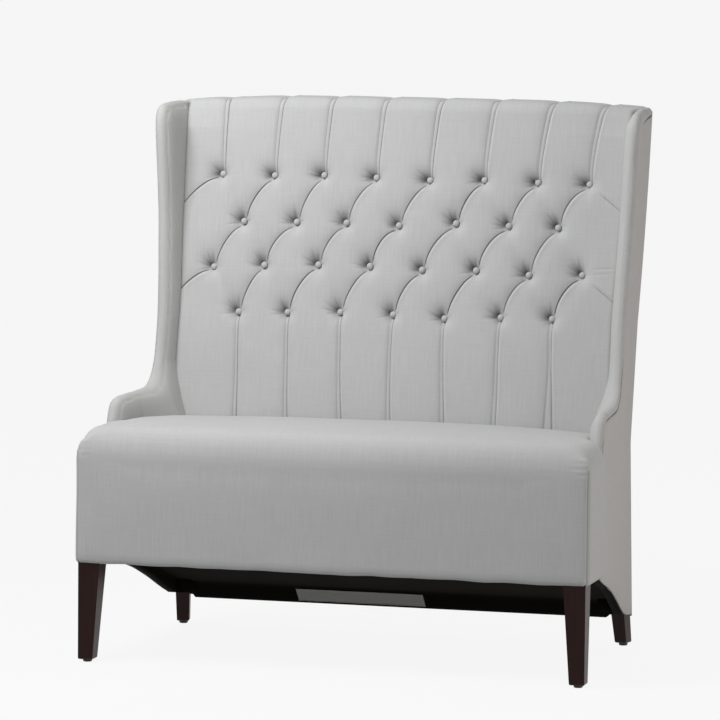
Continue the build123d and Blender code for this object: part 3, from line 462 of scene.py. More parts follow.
for vertex, x, y, z, ny, nz, high in zip(cover.verts, s, path_y, path_z, normal_y, normal_z, height):
    vertex.co = (x, y + ny * high, z + nz * high)
cut = cover.loops.layers.uv.new("cut")
for face in cover.faces:
    face.smooth = True
    for loop in face.loops:
        loop[cut].uv = (s[loop.vert.index], q[loop.vert.index])
cover.faces.ensure_lookup_table()
cover.normal_update()
if cover.faces[0].normal.y > 0:
    bmesh.ops.reverse_faces(cover, faces=cover.faces)
rim = [edge for edge in cover.edges if edge.is_boundary]
skirt = bmesh.ops.extrude_edge_only(cover, edges=rim)["geom"]
for part in skirt:
    if isinstance(part, bmesh.types.BMVert):
        part.co += Vector((0, 0.02, -0.004)) if part.co.y < 0.30 else Vector((0, -0.004, -0.004))
back_cover = object_from(cover, "back_cover")
in_skirt = len(back_cover.data.vertices) - count
written(back_cover.data, {word: np.r_[values, np.full(in_skirt, values[0])]
                          for word, values in marks.items()})
back_cover.data.materials.append(linen("back_linen", linen_grey, (
    ("fold", -0.0004, 0.0013, 1.0), ("pleat", 1.0, 0.24, 1.0), ("pleat", -1.0, 0.22, 0.5))))
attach(back_cover, "root")
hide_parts("tufted_cover", "back_foam")

# ============================================================ buttons
# Small domed buttons covered in the same linen, pulled down on waxed twine.
# Each is turned from one outline and set square to the slope of the back.
facing = Vector((0, -math.cos(rake), math.sin(rake)))
turned = facing.to_track_quat("Z", "Y").to_matrix().to_4x4()
button_set = bmesh.new()
for x, up, *_ in buttons:
    z = row_heights[0] + up * math.cos(rake)
    place = Vector((x, crown_y(z) + 0.0162, z))
    outline = [button_set.verts.new(point) for point in (
        (0, 0, 0.0068), (0.0025, 0, 0.0065), (0.0047, 0, 0.0056), (0.0063, 0, 0.0041),
        (0.0070, 0, 0.0022), (0.0068, 0, 0.0003), (0.0056, 0, -0.0010), (0, 0, -0.0010))]
    edges = [button_set.edges.new(pair) for pair in zip(outline, outline[1:])]
    bmesh.ops.spin(button_set, geom=outline + edges, cent=(0, 0, 0), axis=(0, 0, 1),
                   angle=math.tau, steps=20, use_merge=True)
    made = [vertex for vertex in button_set.verts if not vertex.tag]
    tip = (Matrix.Rotation(rng.uniform(-0.14, 0.14), 4, "X")
           @ Matrix.Rotation(rng.uniform(-0.14, 0.14), 4, "Y"))
    bmesh.ops.transform(button_set, matrix=Matrix.Translation(place) @ turned @ tip, verts=made)
    for vertex in made:
        vertex.tag = True
bmesh.ops.remove_doubles(button_set, verts=button_set.verts, dist=0.00005)
bmesh.ops.recalc_face_normals(button_set, faces=button_set.faces)
cut = button_set.loops.layers.uv.new("cut")
for face in button_set.faces:
    face.smooth = True
    for loop in face.loops:
        loop[cut].uv = (loop.vert.co.x, loop.vert.co.z)
covered_buttons = object_from(button_set, "covered_buttons")
covered_buttons.data.materials.append(linen("button_linen", linen_grey))
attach(covered_buttons, "root")
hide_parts("tufting_buttons")


# ============================================================ seat
# A tight sprung seat: one cover over foam, boxed at its two front corners with a sewn seam.
# In front it is the full width and runs down to the rail; behind, it lies between the arms.
def rounded(points, axes, corner, outward, radii):
    """Rounds the edge where two axes reach their corner, by drawing points in to its arc."""
    outward, radii = np.array(outward), np.array(radii)
    inner = np.array(corner) - radii * outward
    off = (points[:, axes] - inner) * outward / radii
    inside = (off > 0).all(1)
    pull = np.where(inside, off.max(1) / np.maximum(np.hypot(*off.T), 1e-9), 1)
    turned = inner + off * pull[:, None] * outward * radii
    points[np.ix_(inside, axes)] = turned[inside]


def block(mesh, low, high, pitch_of_cuts):
    """A closed box, cut across at even steps so that it can be shaped."""
    made = bmesh.ops.create_cube(mesh, size=1)["verts"]
    size = Vector(high) - Vector(low)
    bmesh.ops.scale(mesh, vec=size, verts=made)
    bmesh.ops.translate(mesh, vec=(Vector(low) + Vector(high)) / 2, verts=made)
    parts = list({part for vertex in made for part in (vertex, *vertex.link_edges, *vertex.link_faces)})
    for axis in range(3):
        steps = max(1, round(size[axis] / pitch_of_cuts))
        way = Vector((axis == 0, axis == 1, axis == 2))
        for step in range(1, steps):
            place = Vector(low) + way * size[axis] * step / steps
            parts = bmesh.ops.bisect_plane(mesh, geom=parts, plane_co=place, plane_no=way)["geom"]


def applied(made):
    graph = bpy.context.evaluated_depsgraph_get()
    graph.update()
    new = bpy.data.meshes.new_from_object(made.evaluated_get(graph))
    made.modifiers.clear()
    old, made.data = made.data, new
    bpy.data.meshes.remove(old)
    new.name = made.name


def skin_over(mesh, name, voxel):
    """Turns a bmesh into one closed skin of even faces."""
    made = object_from(mesh, name)
    remesh = made.modifiers.new("even", "REMESH")
    remesh.mode, remesh.voxel_size, remesh.use_smooth_shade = "VOXEL", voxel, True
    applied(made)
    return made


def coordinates(data, word="co"):
    found = np.zeros(len(data.vertices) * 3)
    data.vertices.foreach_get(word, found)
    return found.reshape(-1, 3)


def place_all(data, points):
    data.vertices.foreach_set("co", points.ravel())
    data.update()


def puffed(made, pressure, cap, held, frames=20):
    """Blows a cover up as cloth over its stuffing; held says which points are tacked down."""
    start, out = coordinates(made.data), coordinates(made.data, "normal")
    tacks = made.vertex_groups.new(name="tacks")
    tacks.add([int(index) for index in np.nonzero(held(start))[0]], 1.0, "REPLACE")
    cloth = made.modifiers.new("cloth", "CLOTH")
    cloth.settings.vertex_group_mass = "tacks"
    cloth.settings.quality = 4
    cloth.settings.mass = 0.4
    cloth.settings.tension_stiffness = cloth.settings.compression_stiffness = 18
    cloth.settings.shear_stiffness = 6
    cloth.settings.bending_stiffness = 1.5
    cloth.settings.use_pressure = True
    cloth.settings.uniform_pressure_force = pressure
    cloth.settings.effector_weights.gravity = 0
    cloth.collision_settings.use_collision = False
    cloth.point_cache.frame_start, cloth.point_cache.frame_end = 1, frames
    for number in range(1, frames + 1):
        bpy.context.scene.frame_set(number)
    applied(made)
    bpy.context.scene.frame_set(1)
    made.vertex_groups.clear()
    moved = np.nan_to_num(coordinates(made.data) - start)
    moved -= out * np.minimum((moved * out).sum(1), 0)[:, None]
    far = np.linalg.norm(moved, axis=1)
    moved *= (np.minimum(far, cap) / np.maximum(far, 1e-9))[:, None]
    stuffed = out * cap * 0.6 * ~held(start)[:, None]
    place_all(made.data, start + stuffed + (moved - stuffed) * 0.2)


def cut_map(data):
    """Lays the cut of the cloth over a cover in metres, over the top and front as one piece."""
    points = coordinates(data)
    layer = data.uv_layers.get("cut") or data.uv_layers.new(name="cut")
    looks = np.zeros(len(data.polygons) * 3)
    data.polygons.foreach_get("normal", looks)
    loops = np.zeros(len(data.loops), int)
    data.loops.foreach_get("vertex_index", loops)
    totals = np.zeros(len(data.polygons), int)
    data.polygons.foreach_get("loop_total", totals)
    aside = np.repeat(np.abs(looks.reshape(-1, 3)).argmax(1) == 0, totals)
    at = points[loops]
    across = np.where(aside, at[:, 1], at[:, 0])
    along = np.where(aside, at[:, 2], at[:, 2] + at[:, 1])
    layer.data.foreach_set("uv", np.stack([across, along], 1).ravel())
    data.polygons.foreach_set("use_smooth", np.ones(len(data.polygons), bool))


def off_line(path, points, way):
    """How far points are from a line laid on a cover, signed along a way, and how far along it."""
    start, step = path[:-1], np.diff(path, axis=0)
    gap = points[:, None] - start
    share = np.clip((gap * step).sum(2) / (step ** 2).sum(1), 0, 1)
    away = gap - share[..., None] * step
    distance = np.linalg.norm(away, axis=2)
    near = distance.argmin(1)
    each = np.arange(len(points))
    signed = np.copysign(distance[each, near], away[each, near] @ way)
    return signed, (near + share[each, near]) / len(step)


seat_half, seat_front, seat_low, seat_high = 0.5485, -0.3605, 0.2085, 0.4945
ear_rear, deck_low = -0.2095, 0.331
seat_rear = crown_y(0.478) + 0.009
seat_mesh = bmesh.new()
block(seat_mesh, (-seat_half, seat_front, seat_low), (seat_half, ear_rear, seat_high), 0.015)
ear_count = len(seat_mesh.verts)
block(seat_mesh, (-0.5, -0.30, deck_low), (0.5, seat_rear, seat_high), 0.02)
seat_points = np.array([vertex.co for vertex in seat_mesh.verts])
ears, body = seat_points[:ear_count], seat_points[ear_count:]
for side in (-1, 1):
    rounded(ears, [0, 2], (side * seat_half, seat_high), (side, 1), (0.044, 0.060))
    rounded(ears, [0, 1], (side * seat_half, seat_front), (side, -1), (0.011, 0.011))
    rounded(ears, [0, 2], (side * seat_half, seat_low), (side, -1), (0.005, 0.006))
    rounded(body, [0, 2], (side * 0.5, seat_high), (side, 1), (0.014, 0.014))
rounded(ears, [1, 2], (seat_front, seat_high), (-1, 1), (0.042, 0.062))
rounded(ears, [1, 2], (seat_front, seat_low), (-1, -1), (0.006, 0.006))
squeeze = 0.0305 + 0.020 * np.clip((body[:, 1] + 0.10) / 0.14, 0, 1)
body[:, 0] *= (side_x(np.maximum(body[:, 1], -0.207), 0.45) - squeeze) / 0.5
share = np.clip((seat_points[:, 2] - deck_low) / (seat_high - deck_low), 0, 1)
behind = np.clip((seat_points[:, 1] + 0.24) / (seat_rear + 0.24), 0, 1)
ends = np.clip((np.abs(seat_points[:, 0]) - 0.18) / 0.32, 0, 1.1) ** 1.6
fall = 0.014 + ends * np.where(seat_points[:, 0] > 0, 0.016, 0.006)
seat_points[:, 2] -= share * fall * behind ** 2
for vertex, point in zip(seat_mesh.verts, seat_points):
    vertex.co = point
seat = skin_over(seat_mesh, "seat", 0.0062)
puffed(seat, 5.0, 0.005, lambda at: (at[:, 2] < seat_low + 0.004) | (at[:, 1] > seat_rear - 0.006)
       | ((at[:, 2] < deck_low + 0.01) & (at[:, 1] > ear_rear - 0.01)))
finer = seat.modifiers.new("finer", "SUBSURF")
finer.levels = finer.render_levels = 1
applied(seat)

# A boxing seam runs up each front corner and dies out under the roll, with a line of painted shade
# along it.
points, looks = coordinates(seat.data), coordinates(seat.data, "normal")
tree = BVHTree.FromPolygons(points.tolist(), [tuple(face.vertices) for face in seat.data.polygons])
sink = np.array([noise.noise((x * 5, y * 5, z * 7)) for x, y, z in points]) * 0.0016
marks = {"seam": np.full(len(points), 1.0), "seam_deep": np.zeros(len(points))}
for side in (-1, 1):
    corners = np.array(((0.550, -0.362, 0.206), (0.550, -0.362, 0.425), (0.548, -0.357, 0.452)))
    steps = np.linspace(0, len(corners) - 1, 60)
    route = np.stack([np.interp(steps, range(len(corners)), corners[:, axis]) for axis in range(3)], 1)
    route = np.array([tree.find_nearest(Vector(spot) * Vector((side, 1, 1)))[0] for spot in route])
    here = np.nonzero((points[:, 0] * side > 0.50) & (points[:, 1] < ear_rear + 0.02))[0]
    away, along = off_line(route, points[here], np.array((side, 1, -1)))
    dying = np.clip((0.992 - along) / 0.12, 0, 1)
    sink[here] -= dying * (0.0018 * np.exp(-(away / 0.0028) ** 2)
                           - 0.0008 * np.exp(-((np.abs(away) - 0.007) / 0.004) ** 2))
    marks["seam"][here] = away
    # A line of painted shade along the seam, fading out with it.
    marks["seam_deep"][here] = np.clip(2 - np.abs(away) / 0.004, 0, 1) * 0.45 * dying
    for rise, long in ((0.437, 0.032), (0.449, 0.046), (0.461, 0.038)):
        ruck = np.exp(-((points[:, 2] - rise) / 0.0024) ** 2) * (points[:, 1] < -0.34)
        reach = np.clip((points[:, 0] * side - seat_half + long) / 0.02, 0, 1)
        sink -= (0.0011 if side > 0 else 0.0005) * ruck * reach
front_hem = np.clip((0.236 - points[:, 2]) / 0.02, 0, 1) * (points[:, 1] < -0.34)
ripple = np.array([noise.noise((x * 17, 0, 4)) for x in points[:, 0]])
points += looks * sink[:, None]
points[:, 2] += front_hem * ripple * 0.0016
place_all(seat.data, points)
written(seat.data, marks)
cut_map(seat.data)
seat.data.materials.append(linen("seat_linen", linen_grey, (("seam", 0.0, 0.0010, 1.0),)))
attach(seat, "root")
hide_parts("seat_cover", "seat_foam")

# ============================================================ sides
# A plywood wing on each side, wadded round its front edge into a soft lip that sweeps down
# from the tall wing to a low arm. The same cloth lines its inner face.
lip_line = ((-0.207, 0.450), (-0.197, 0.480), (-0.1865, 0.505), (-0.1745, 0.5305), (-0.149, 0.541),
            (-0.007, 0.543), (0.026, 0.549), (0.051, 0.565), (0.068, 0.592), (0.081, 0.625),
            (0.097, 0.700), (0.112, 0.815), (0.126, 0.930), (0.126, 1.108), (0.137, 1.1405),
            (0.166, 1.1550), (0.345, 1.1580))


def smooth_line(corners, step):
    """Even points on a soft curve through the corners of a line."""
    corners = np.array(corners)
    for _ in range(2):
        first, last = corners[:-1] * 0.75 + corners[1:] * 0.25, corners[:-1] * 0.25 + corners[1:] * 0.75
        corners = np.concatenate([corners[:1], np.stack([first, last], 1).reshape(-1, 2), corners[-1:]])
    length = np.r_[0, np.cumsum(np.hypot(*np.diff(corners, axis=0).T))]
    places = np.linspace(0, length[-1], int(length[-1] / step) + 1)
    return np.stack([np.interp(places, length, corners[:, axis]) for axis in (0, 1)], 1)


corner_radius = 0.008


def rear_y(z):
    """The outside of the back: raked above the waist, and kicked back a little below it."""
    return 0.205 + np.where(z > 0.445, 0.2279 * (z - 0.445), 0.1097 * (0.445 - z))


def slab(line, low, high, side, grid):
    """A flat side from its outline, from low to high inward of the outer face of the settee."""
    mesh = bmesh.new()
    outer = [mesh.verts.new((0, y, z)) for y, z in line]
    mesh.faces.new(outer)
    cuts = [(Vector((0, 0, z)), Vector((0, 0, 1))) for z in np.arange(0.09, 1.15, grid)]
    cuts += [(Vector((0, y, 0)), Vector((0, 1, 0))) for y in np.arange(-0.19, 0.36, grid)]
    for place, way in cuts:
        bmesh.ops.bisect_plane(mesh, geom=list(mesh.verts) + list(mesh.edges) + list(mesh.faces),
                               plane_co=place, plane_no=way)
    bmesh.ops.solidify(mesh, geom=list(mesh.faces), thickness=high - low)
    xs = [vertex.co.x for vertex in mesh.verts]
    middle = (min(xs) + max(xs)) / 2
    for vertex in mesh.verts:
        depth = high if vertex.co.x > middle else low
        vertex.co.x = side * (float(side_x(vertex.co.y, vertex.co.z)) - depth)
    bmesh.ops.recalc_face_normals(mesh, faces=mesh.faces)
    return mesh


def turned_corner(points, inset):
    """Draws the outer rear corner of a side in to its round edge, further in by the inset."""
    over = np.clip((points[:, 1] - rear_y(points[:, 2])) / corner_radius + 1, 0, 0.98)
    limit = side_x(points[:, 1], points[:, 2]) - corner_radius * (1 - np.sqrt(1 - over ** 2))
    limit -= inset
    return np.copysign(np.minimum(np.abs(points[:, 0]), np.where(over > 0, limit, 9)), points[:, 0])


def lip_shaped(points, side, thick):
    """Turns the square front edge of a wing into its padded lip, tight outside and long inside."""
    path = np.concatenate([((-0.207, 0.19),), lip_points, ((0.40, 1.1585),)])
    away, along = beside(path, points[:, 1:])
    way = np.gradient(path, axis=0)
    inward = np.stack([way[:, 1], -way[:, 0]], 1) / np.hypot(*way.T)[:, None]
    normal = np.stack([np.interp(along * (len(path) - 1), range(len(path)), inward[:, axis])
                       for axis in (0, 1)], 1)
    y, z = points[:, 1], points[:, 2]
    domed = np.clip((z - 1.11) / 0.03, 0, 1)
    deep = side_x(y, z) - 0.0008 - np.abs(points[:, 0])
    start, depth = np.maximum(away, 0), deep
    long = np.where(z > 1.10, 0.036 - 0.022 * np.clip((y - 0.235) / 0.04, 0, 1), 0.036)
    for reach, wide, turned_in in ((0.0125, 0.0115, False), (long, thick - 0.0115, True)):
        a = (reach - start) / reach
        b = (depth - thick + wide) / wide if turned_in else (wide - depth) / wide
        pull = np.where((a > 0) & (b > 0), np.maximum(a, b) / np.maximum(np.hypot(a, b), 1e-9), 1)
        start = np.where(pull < 1, reach - a * pull * reach, start)
        shaped = thick - wide + b * pull * wide if turned_in else wide - b * pull * wide
        depth = np.where(pull < 1, shaped, depth)
    low = np.clip((0.60 - z) / 0.13, 0, 1) ** 1.4 * np.clip((z - 0.38) / 0.06, 0, 1)
    stuffed = 0.004 * np.clip(away / 0.05, 0, 1) + 0.034 * low * np.clip((y + 0.07) / 0.13, 0, 1)
    shift = np.clip((deep / thick - 0.5) / 0.4, 0, 1) * stuffed
    points[:, 1:] += normal * (start - np.maximum(away, 0))[:, None]
    points[:, 0] = side * (side_x(y, z) - 0.0008 - depth - shift)
    points[:, 2] -= domed * 0.004 * np.clip(depth / thick - 0.45, 0, 1) ** 2 / 0.3
    return points


lip_points = smooth_line(lip_line, 0.006)
wing_foot = np.array(((0.2285, 0.2040), (-0.090, 0.2040), (-0.207, 0.2065)))
wing_rear = np.array(((0.3632, 1.157), (0.2009, 0.445)))
seam_line = smooth_line((
    (-0.194, 0.207), (-0.194, 0.470), (-0.172, 0.500), (-0.160, 0.517), (-0.140, 0.527),
    (-0.007, 0.529), (0.030, 0.536), (0.058, 0.556), (0.078, 0.590), (0.098, 0.640),
    (0.124, 0.740), (0.152, 0.840), (0.170, 0.930), (0.172, 1.080), (0.176, 1.116),
    (0.194, 1.131), (0.360, 1.140)), 0.006)
panel_rear = np.array(((0.3604, 1.140), (0.2020, 0.445), (0.2430, 0.0690)))
panel_foot = smooth_line((
    (0.221, 0.0690), (0.168, 0.0768), (0.103, 0.1026), (0.043, 0.1284), (-0.052, 0.1636),
    (-0.152, 0.1880), (-0.194, 0.2012)), 0.012)
panel_outline = np.concatenate([seam_line, panel_rear, panel_foot])
side_linen = linen("side_linen", (0.50, 0.50, 0.495), (("seam", 0.0, 0.0012, 1.0),))
panel_linen = linen("panel_linen", (0.50, 0.490, 0.480), (("seam", 0.0, 0.0020, 1.0),))
for side, word in ((-1, "left"), (1, "right")):
    wing_mesh = slab(np.concatenate([lip_points, wing_rear, wing_foot]), 0.0008, 0.0295, side, 0.03)
    wing = skin_over(wing_mesh, "wing_" + word, 0.0045)
    place_all(wing.data, lip_shaped(coordinates(wing.data), side, 0.0287))
    puffed(wing, 3.0, 0.003, lambda at: (at[:, 1] > crown_y(at[:, 2]) + 0.02) | (at[:, 2] < 0.24))

    # Behind the seam the wadding stops, so that the outside panel lies level with the lip.
    points, looks = coordinates(wing.data), coordinates(wing.data, "normal")
    away = beside(seam_line, points[:, 1:])[0]
    outside = (looks[:, 0] * side > 0.3) & (points[:, 2] > 0.2)
    points[:, 0] -= side * np.where(outside, 0.0042 * np.clip((away + 0.0005) / 0.003, 0, 1), 0)
    points[:, 0] = turned_corner(points, 0.0045)
    points[:, 0] -= side * np.where(outside, 0.0024 * np.exp(-(away / 0.0042) ** 2), 0)
    by_seam = outside & (np.abs(away) < 0.012)
    sway_in = np.array([noise.noise((x * 4, y * 9, z * 9)) for x, y, z in points])
    points += looks * (sway_in * 0.0009 * (np.abs(away) < 0.05))[:, None]
    place_all(wing.data, points)
    # A line of painted shade along the seam on the outer face of the wing.
    written(wing.data, {"seam": away + 0.0006, "seam_deep": np.where(by_seam, 0.9, 0.0)})
    cut_map(wing.data)
    wing.data.materials.append(side_linen)
    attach(wing, "root")
    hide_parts("wing_pad_" + word)

    # The outside of a side is one flat panel, card and cloth together, sewn just behind the
    # lip. The right one has a small pucker under the arm, as in the photograph.
    panel_mesh = slab(panel_outline, 0.0006, 0.0048, side, 0.012)
    rim = [edge for edge in panel_mesh.edges
           if len(edge.link_faces) == 2 and edge.calc_face_angle(0) > 1.2]
    bmesh.ops.bevel(panel_mesh, geom=rim, offset=0.0018, offset_type="OFFSET", segments=3,
                    profile=0.5, affect="EDGES", material=-1, clamp_overlap=True)
    points = np.array([vertex.co for vertex in panel_mesh.verts])
    within = np.clip(np.abs(beside(panel_outline, points[:, 1:])[0]) / 0.022, 0, 1)
    slack = np.array([noise.noise((2, y * 6, z * 5)) for _, y, z in points])
    swell = within * (2 - within) * 0.0016 - 0.0012 + within * (0.0006 + 0.0009 * slack)
    if side > 0:
        from_pucker = np.hypot(points[:, 1] + 0.0725, points[:, 2] - 0.5254)
        swell -= 0.0028 * np.exp(-(from_pucker / 0.006) ** 2)
    points[:, 0] = turned_corner(points, 0.0) + side * swell
    for vertex, point in zip(panel_mesh.verts, points):
        vertex.co = point
    panel = object_from(panel_mesh, "side_panel_" + word)
    cut_map(panel.data)
    # A line of painted shade runs along the panel's edge at the seam.
    written(panel.data, {"seam": beside(seam_line, points[:, 1:])[0],
                         "seam_deep": np.full(len(points), 0.75)})
    panel.data.materials.append(panel_linen)
    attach(panel, "root")
    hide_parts("outside_panel_" + word, "side_card_" + word)

# ============================================================ outside back
# One plain panel of the same cloth over card, tacked under the top edge and down both sides.
# Both turn forward at their two upright edges and meet the side panels at the corners.
def over_back(name, low, high, inset, reach, thick, loose):
    """A thin sheet down the outside back, bent forward round its two upright edges."""
    made = bmesh.new()
    bmesh.ops.create_grid(made, x_segments=130, y_segments=110, size=1)
    points = np.array([vertex.co for vertex in made.verts])
    z = low + (points[:, 1] + 1) / 2 * (high - low)
    edge_x = side_x(rear_y(z), z) - inset
    x = np.sign(points[:, 0]) * np.abs(points[:, 0]) ** 0.8 * (edge_x - reach)
    over = np.clip((np.abs(x) - edge_x) / corner_radius + 1, 0, 0.98)
    lift = np.clip((edge_x - np.abs(x)) / 0.06, 0, 1) * np.clip((high - z) / 0.05, 0, 1)
    slack = np.array([noise.noise((a * 5, b * 4, 9)) for a, b in zip(x, z)])
    y = rear_y(z) - inset - corner_radius * (1 - np.sqrt(1 - over ** 2))
    y += loose * lift * (0.0012 + 0.0016 * slack)
    for vertex, point in zip(made.verts, np.stack([x, y, z], 1)):
        vertex.co = point
    made.normal_update()
    made.faces.ensure_lookup_table()
    if made.faces[0].normal.y < 0:
        bmesh.ops.reverse_faces(made, faces=made.faces)
    bmesh.ops.solidify(made, geom=list(made.faces), thickness=thick)
    bmesh.ops.recalc_face_normals(made, faces=made.faces)
    sheet = object_from(made, name)
    cut_map(sheet.data)
    return sheet


back_card = over_back("bent_back_card", 0.0655, 1.141, 0.0026, 0.0030, 0.0016, 0)
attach(back_card, "root")
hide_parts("back_card")
outside_back = over_back("outside_back", 0.0635, 1.1485, -0.0002, 0.0010, 0.0025, 1)
outside_back.data.materials.append(panel_linen)
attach(outside_back, "root")
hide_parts("back_outside_panel")

# ============================================================ dust cover
# Thin black cambric stapled under the rails. At the sides it turns down the inside of the
# boards and under their lower edge, and behind it drops steeply to the rear rail.
board_front, steep_front, cloth_edge = -0.2135, 0.17, 0.0768
dust_rows = ((-0.355, 0.2127), (-0.3085, 0.2127), (-0.214, 0.2127), (-0.209, 0.2127),
             (-0.152, 0.2020), (-0.052, 0.1827), (0.073, 0.1377), (0.163, 0.1077),
             (0.1765, 0.1012), (0.1985, 0.0767), (0.212, 0.0617), (0.2412, 0.0617))
rows = [np.array(dust_rows[0])]
for first, last in zip(dust_rows, dust_rows[1:]):
    steps = max(1, round(math.dist(first, last) / 0.013))
    rows += [np.array(first) + (np.array(last) - first) * step / steps for step in range(1, steps + 1)]
rows = np.array(rows)
board_line = np.array((
    (-0.214, 0.2127), (-0.209, 0.2020), (-0.194, 0.2016), (-0.152, 0.1895), (-0.052, 0.1642),
    (0.043, 0.1292), (0.103, 0.1032), (0.168, 0.0770), (0.25, 0.0770)))
cambric = bmesh.new()
bmesh.ops.create_grid(cambric, x_segments=80, y_segments=len(rows) - 1, size=1)
flat = np.array([vertex.co[:2] for vertex in cambric.verts])
row = np.rint((flat[:, 1] + 1) / 2 * (len(rows) - 1)).astype(int)
across = np.abs(flat[:, 0])
y, z = rows[row].T
low_z = np.minimum(np.interp(y, *board_line.T), z)
corner = np.where(y < board_front, 0.4945, side_x(y, 0.2) - 0.0242)
corner = np.where(y > steep_front, 0.4735, corner)
middle = np.where(y > steep_front, 0.4640, corner - 0.016)
outer = np.where(y < board_front, 0.543, side_x(y, 0.2) - 0.0045)
x = np.interp(across, (0, 0.875), (0, 1)) * middle
x = np.where(across > 0.88, corner, x)
x = np.where(across > 0.955, corner + (outer - corner) * (across - 0.95) / 0.05, x)
drop = np.clip((across - 0.90) / 0.05, 0, 1)
z_here = np.where(y > steep_front, np.where(across > 0.88, cloth_edge, z), z + (low_z - z) * drop)
sag = np.array([noise.noise((a * 6, b * 6, 1)) for a, b in zip(x * np.sign(flat[:, 0]), y)])
z_here -= (across < 0.8) * (0.0006 + 0.0012 * np.abs(sag)) * (y < 0.20)
z_here -= 0.0012 * (across > 0.8) * (y < steep_front)
for vertex, sign, point in zip(cambric.verts, np.sign(flat[:, 0]), np.stack([x, y, z_here], 1)):
    vertex.co = (sign * point[0], point[1], point[2])
columns = {vertex: (share, depth) for vertex, share, depth in zip(cambric.verts, across, y)}
legs_through = [face for face in cambric.faces
                if min(columns[vertex][0] for vertex in face.verts) > 0.89
                and (max(columns[vertex][1] for vertex in face.verts) < -0.308
                     or min(columns[vertex][1] for vertex in face.verts) > 0.197)]
bmesh.ops.delete(cambric, geom=legs_through, context="FACES")

# The cloth is tucked round the block over each rear leg; the front of the tuck leans back.
for side in (-1, 1):
    for vertex in bmesh.ops.create_cube(cambric, size=1)["verts"]:
        x, y, z = vertex.co
        lean = 0.0265 if y < 0 and z < 0 else 0
        vertex.co = (side * (0.4845 + x * 0.0510), 0.1950 + y * 0.0930 + lean, 0.0947 + z * 0.0358)
cambric.normal_update()
cambric.faces.ensure_lookup_table()
if cambric.faces[len(cambric.faces) // 2].normal.z > 0:
    bmesh.ops.reverse_faces(cambric, faces=cambric.faces)
bmesh.ops.solidify(cambric, geom=list(cambric.faces), thickness=0.0005)
bmesh.ops.recalc_face_normals(cambric, faces=cambric.faces)
dust_sheet = object_from(cambric, "dust_sheet")
cut_map(dust_sheet.data)


def patterned(name, tone, grain, contrast, roughness, metallic=0.0, depth=0.0002, shine=0.3):
    """A plain finish whose colour and gloss vary along its own grain."""
    made, wire = material_of(name)
    spot = wire.node("ShaderNodeTexCoord", output=3)
    spread = wire.node("ShaderNodeMapping", None, {"Vector": spot, "Scale": grain})
    broad = wire.specks(spread, 1.0, Detail=4.0, Roughness=0.6)
    thin = wire.specks(spread, 6.0, Detail=2.0)
    level = (broad * 0.65 + thin * 0.35 - 0.5) * 2 + 0.5
    show(wire, wire.node("ShaderNodeBsdfPrincipled", None, {
        "Base Color": wire.mixed(level, toned(tone, 1 - contrast), toned(tone, 1 + contrast)),
        "Roughness": thin * 0.16 + (roughness - 0.08), "Metallic": metallic,
        "Specular IOR Level": shine, "Normal": wire.bumped(level, 0.3, depth)}))
    return made


dust_sheet.data.materials.append(
    patterned("cambric", (0.0075, 0.0065, 0.0055), (900, 900, 900), 0.35, 0.85, shine=0.02))
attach(dust_sheet, "root")
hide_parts("dust_cover")

# ============================================================ blank tag
# A plain strip of pale cloth sewn flat to the steep rear part of the dust cover.
tag_mesh = bmesh.new()
bmesh.ops.create_grid(tag_mesh, x_segments=40, y_segments=6, size=1)
for vertex in tag_mesh.verts:
    x, down = -0.080 + vertex.co.x * 0.1435, (vertex.co.y + 1) / 2
    y = 0.1790 + 0.0265 * (1 - down)
    z = float(np.interp(y, rows[:, 0], rows[:, 1])) - 0.0022 - 0.0006 * noise.noise((x * 30, y * 50, 0))
    vertex.co = (x, y, z)
bmesh.ops.solidify(tag_mesh, geom=list(tag_mesh.faces), thickness=0.0006)
bmesh.ops.recalc_face_normals(tag_mesh, faces=tag_mesh.faces)
plain_tag = object_from(tag_mesh, "plain_tag")
cut_map(plain_tag.data)
plain_tag.data.materials.append(patterned("tag_cloth", (0.80, 0.79, 0.77), (700, 700, 700), 0.12, 0.9))
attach(plain_tag, "root")
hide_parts("blank_tag")

# ============================================================ legs and glides
# Four tapered hardwood legs, stained dark espresso under a satin lacquer that catches light
# along its edges, each on a nail-in plastic glide.
leg_finish, wire = material_of("leg_finish")
spot = wire.node("ShaderNodeTexCoord", output=3)
spread = wire.node("ShaderNodeMapping", None, {"Vector": spot, "Scale": (120, 120, 7)})
grain = wire.specks(spread, 1.0, Detail=5.0, Roughness=0.65)
pores = wire.specks(spread, 7.0, Detail=1.0)
stain = wire.mixed(grain * 1.4 - 0.2, (0.0080, 0.0022, 0.0016, 1), (0.026, 0.0075, 0.0052, 1))
show(wire, wire.node("ShaderNodeBsdfPrincipled", None, {
    "Base Color": stain, "Roughness": pores * 0.2 + 0.26, "Specular IOR Level": 0.14,
    "Normal": wire.bumped(pores, 0.2, 0.0002)}))


def finished(node, material):
    """Gives a node of the frame its finish; its shape is already right."""
    data = nodes[node].data
    data.materials.clear()
    data.materials.append(material)


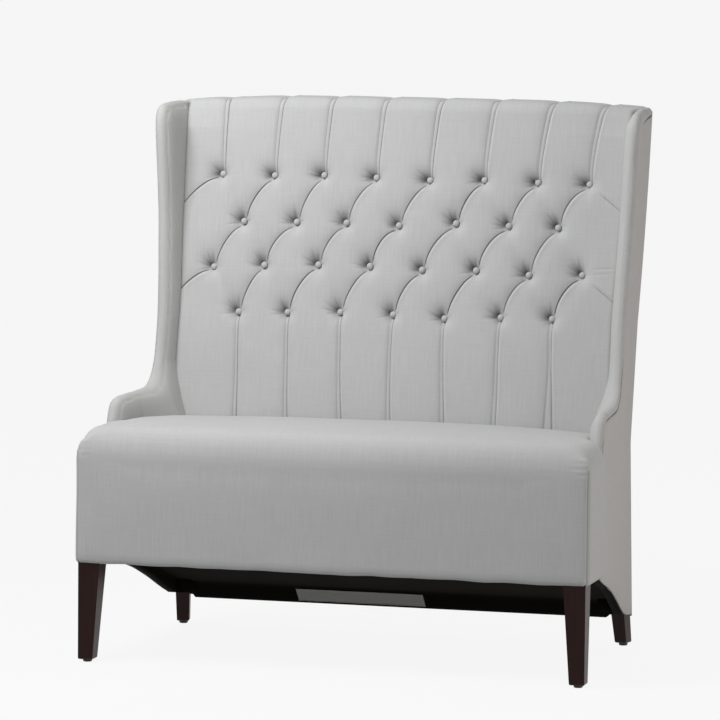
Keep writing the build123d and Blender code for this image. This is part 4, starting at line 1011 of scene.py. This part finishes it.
for place in ("front_leg_left", "front_leg_right", "rear_leg_left", "rear_leg_right"):
    finished(place, leg_finish)
glide_plastic = patterned("glide_plastic", (0.028, 0.027, 0.026), (400, 400, 400), 0.2, 0.5)
finished("leg_glides", glide_plastic)

# ============================================================ hidden frame
# Everything under the covers: planed rails, plywood wings, card, springs, webbing, twine,
# screws and the lining cloths, each with the plain finish of its kind.
rail_wood = patterned("rail_wood", (0.62, 0.47, 0.30), (9, 70, 70), 0.18, 0.62)
post_wood = patterned("post_wood", (0.60, 0.45, 0.29), (70, 70, 9), 0.18, 0.62)
side_wood = patterned("side_wood", (0.61, 0.46, 0.30), (70, 9, 70), 0.18, 0.62)
board_face = patterned("board_face", (0.60, 0.46, 0.31), (120, 90, 8), 0.15, 0.7)
card_face = patterned("card_face", (0.40, 0.33, 0.25), (260, 260, 260), 0.10, 0.85)
steel = patterned("plated_steel", (0.62, 0.61, 0.58), (300, 300, 300), 0.08, 0.35, 1.0)
spring_steel = patterned("spring_steel", (0.34, 0.34, 0.35), (200, 900, 900), 0.12, 0.42, 1.0)
elastic = patterned("elastic_webbing", (0.30, 0.23, 0.14), (650, 650, 650), 0.35, 0.85, depth=0.0006)
waxed = patterned("waxed_twine", (0.72, 0.67, 0.56), (1500, 1500, 1500), 0.25, 0.7, depth=0.0005)
lining = patterned("lining_cloth", (0.70, 0.69, 0.65), (800, 800, 800), 0.10, 0.9)
back_card.data.materials.append(card_face)
finishes = (
    (rail_wood, "front_rail spring_rail rear_rail back_lower_rail back_top_rail"),
    (rail_wood, "front_corner_blocks rear_corner_blocks seat_ear_blocks"),
    (post_wood, "back_post_left back_post_right back_centre_post lower_centre_post wing_spacers"),
    (side_wood, "side_rail_left side_rail_right seat_stretcher"),
    (board_face, "wing_board_left wing_board_right"),
    (steel, "leg_bolts leg_nuts wing_screws"),
    (glide_plastic, "twine_toggles spring_clips"),
    (elastic, "webbing_across webbing_upright"),
    (lining, "back_support_cloth seat_deck"),
    (spring_steel, "seat_springs"),
    (waxed, "button_twines"))
for material, places in finishes:
    for place in places.split():
        finished(place, material)

low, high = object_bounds()
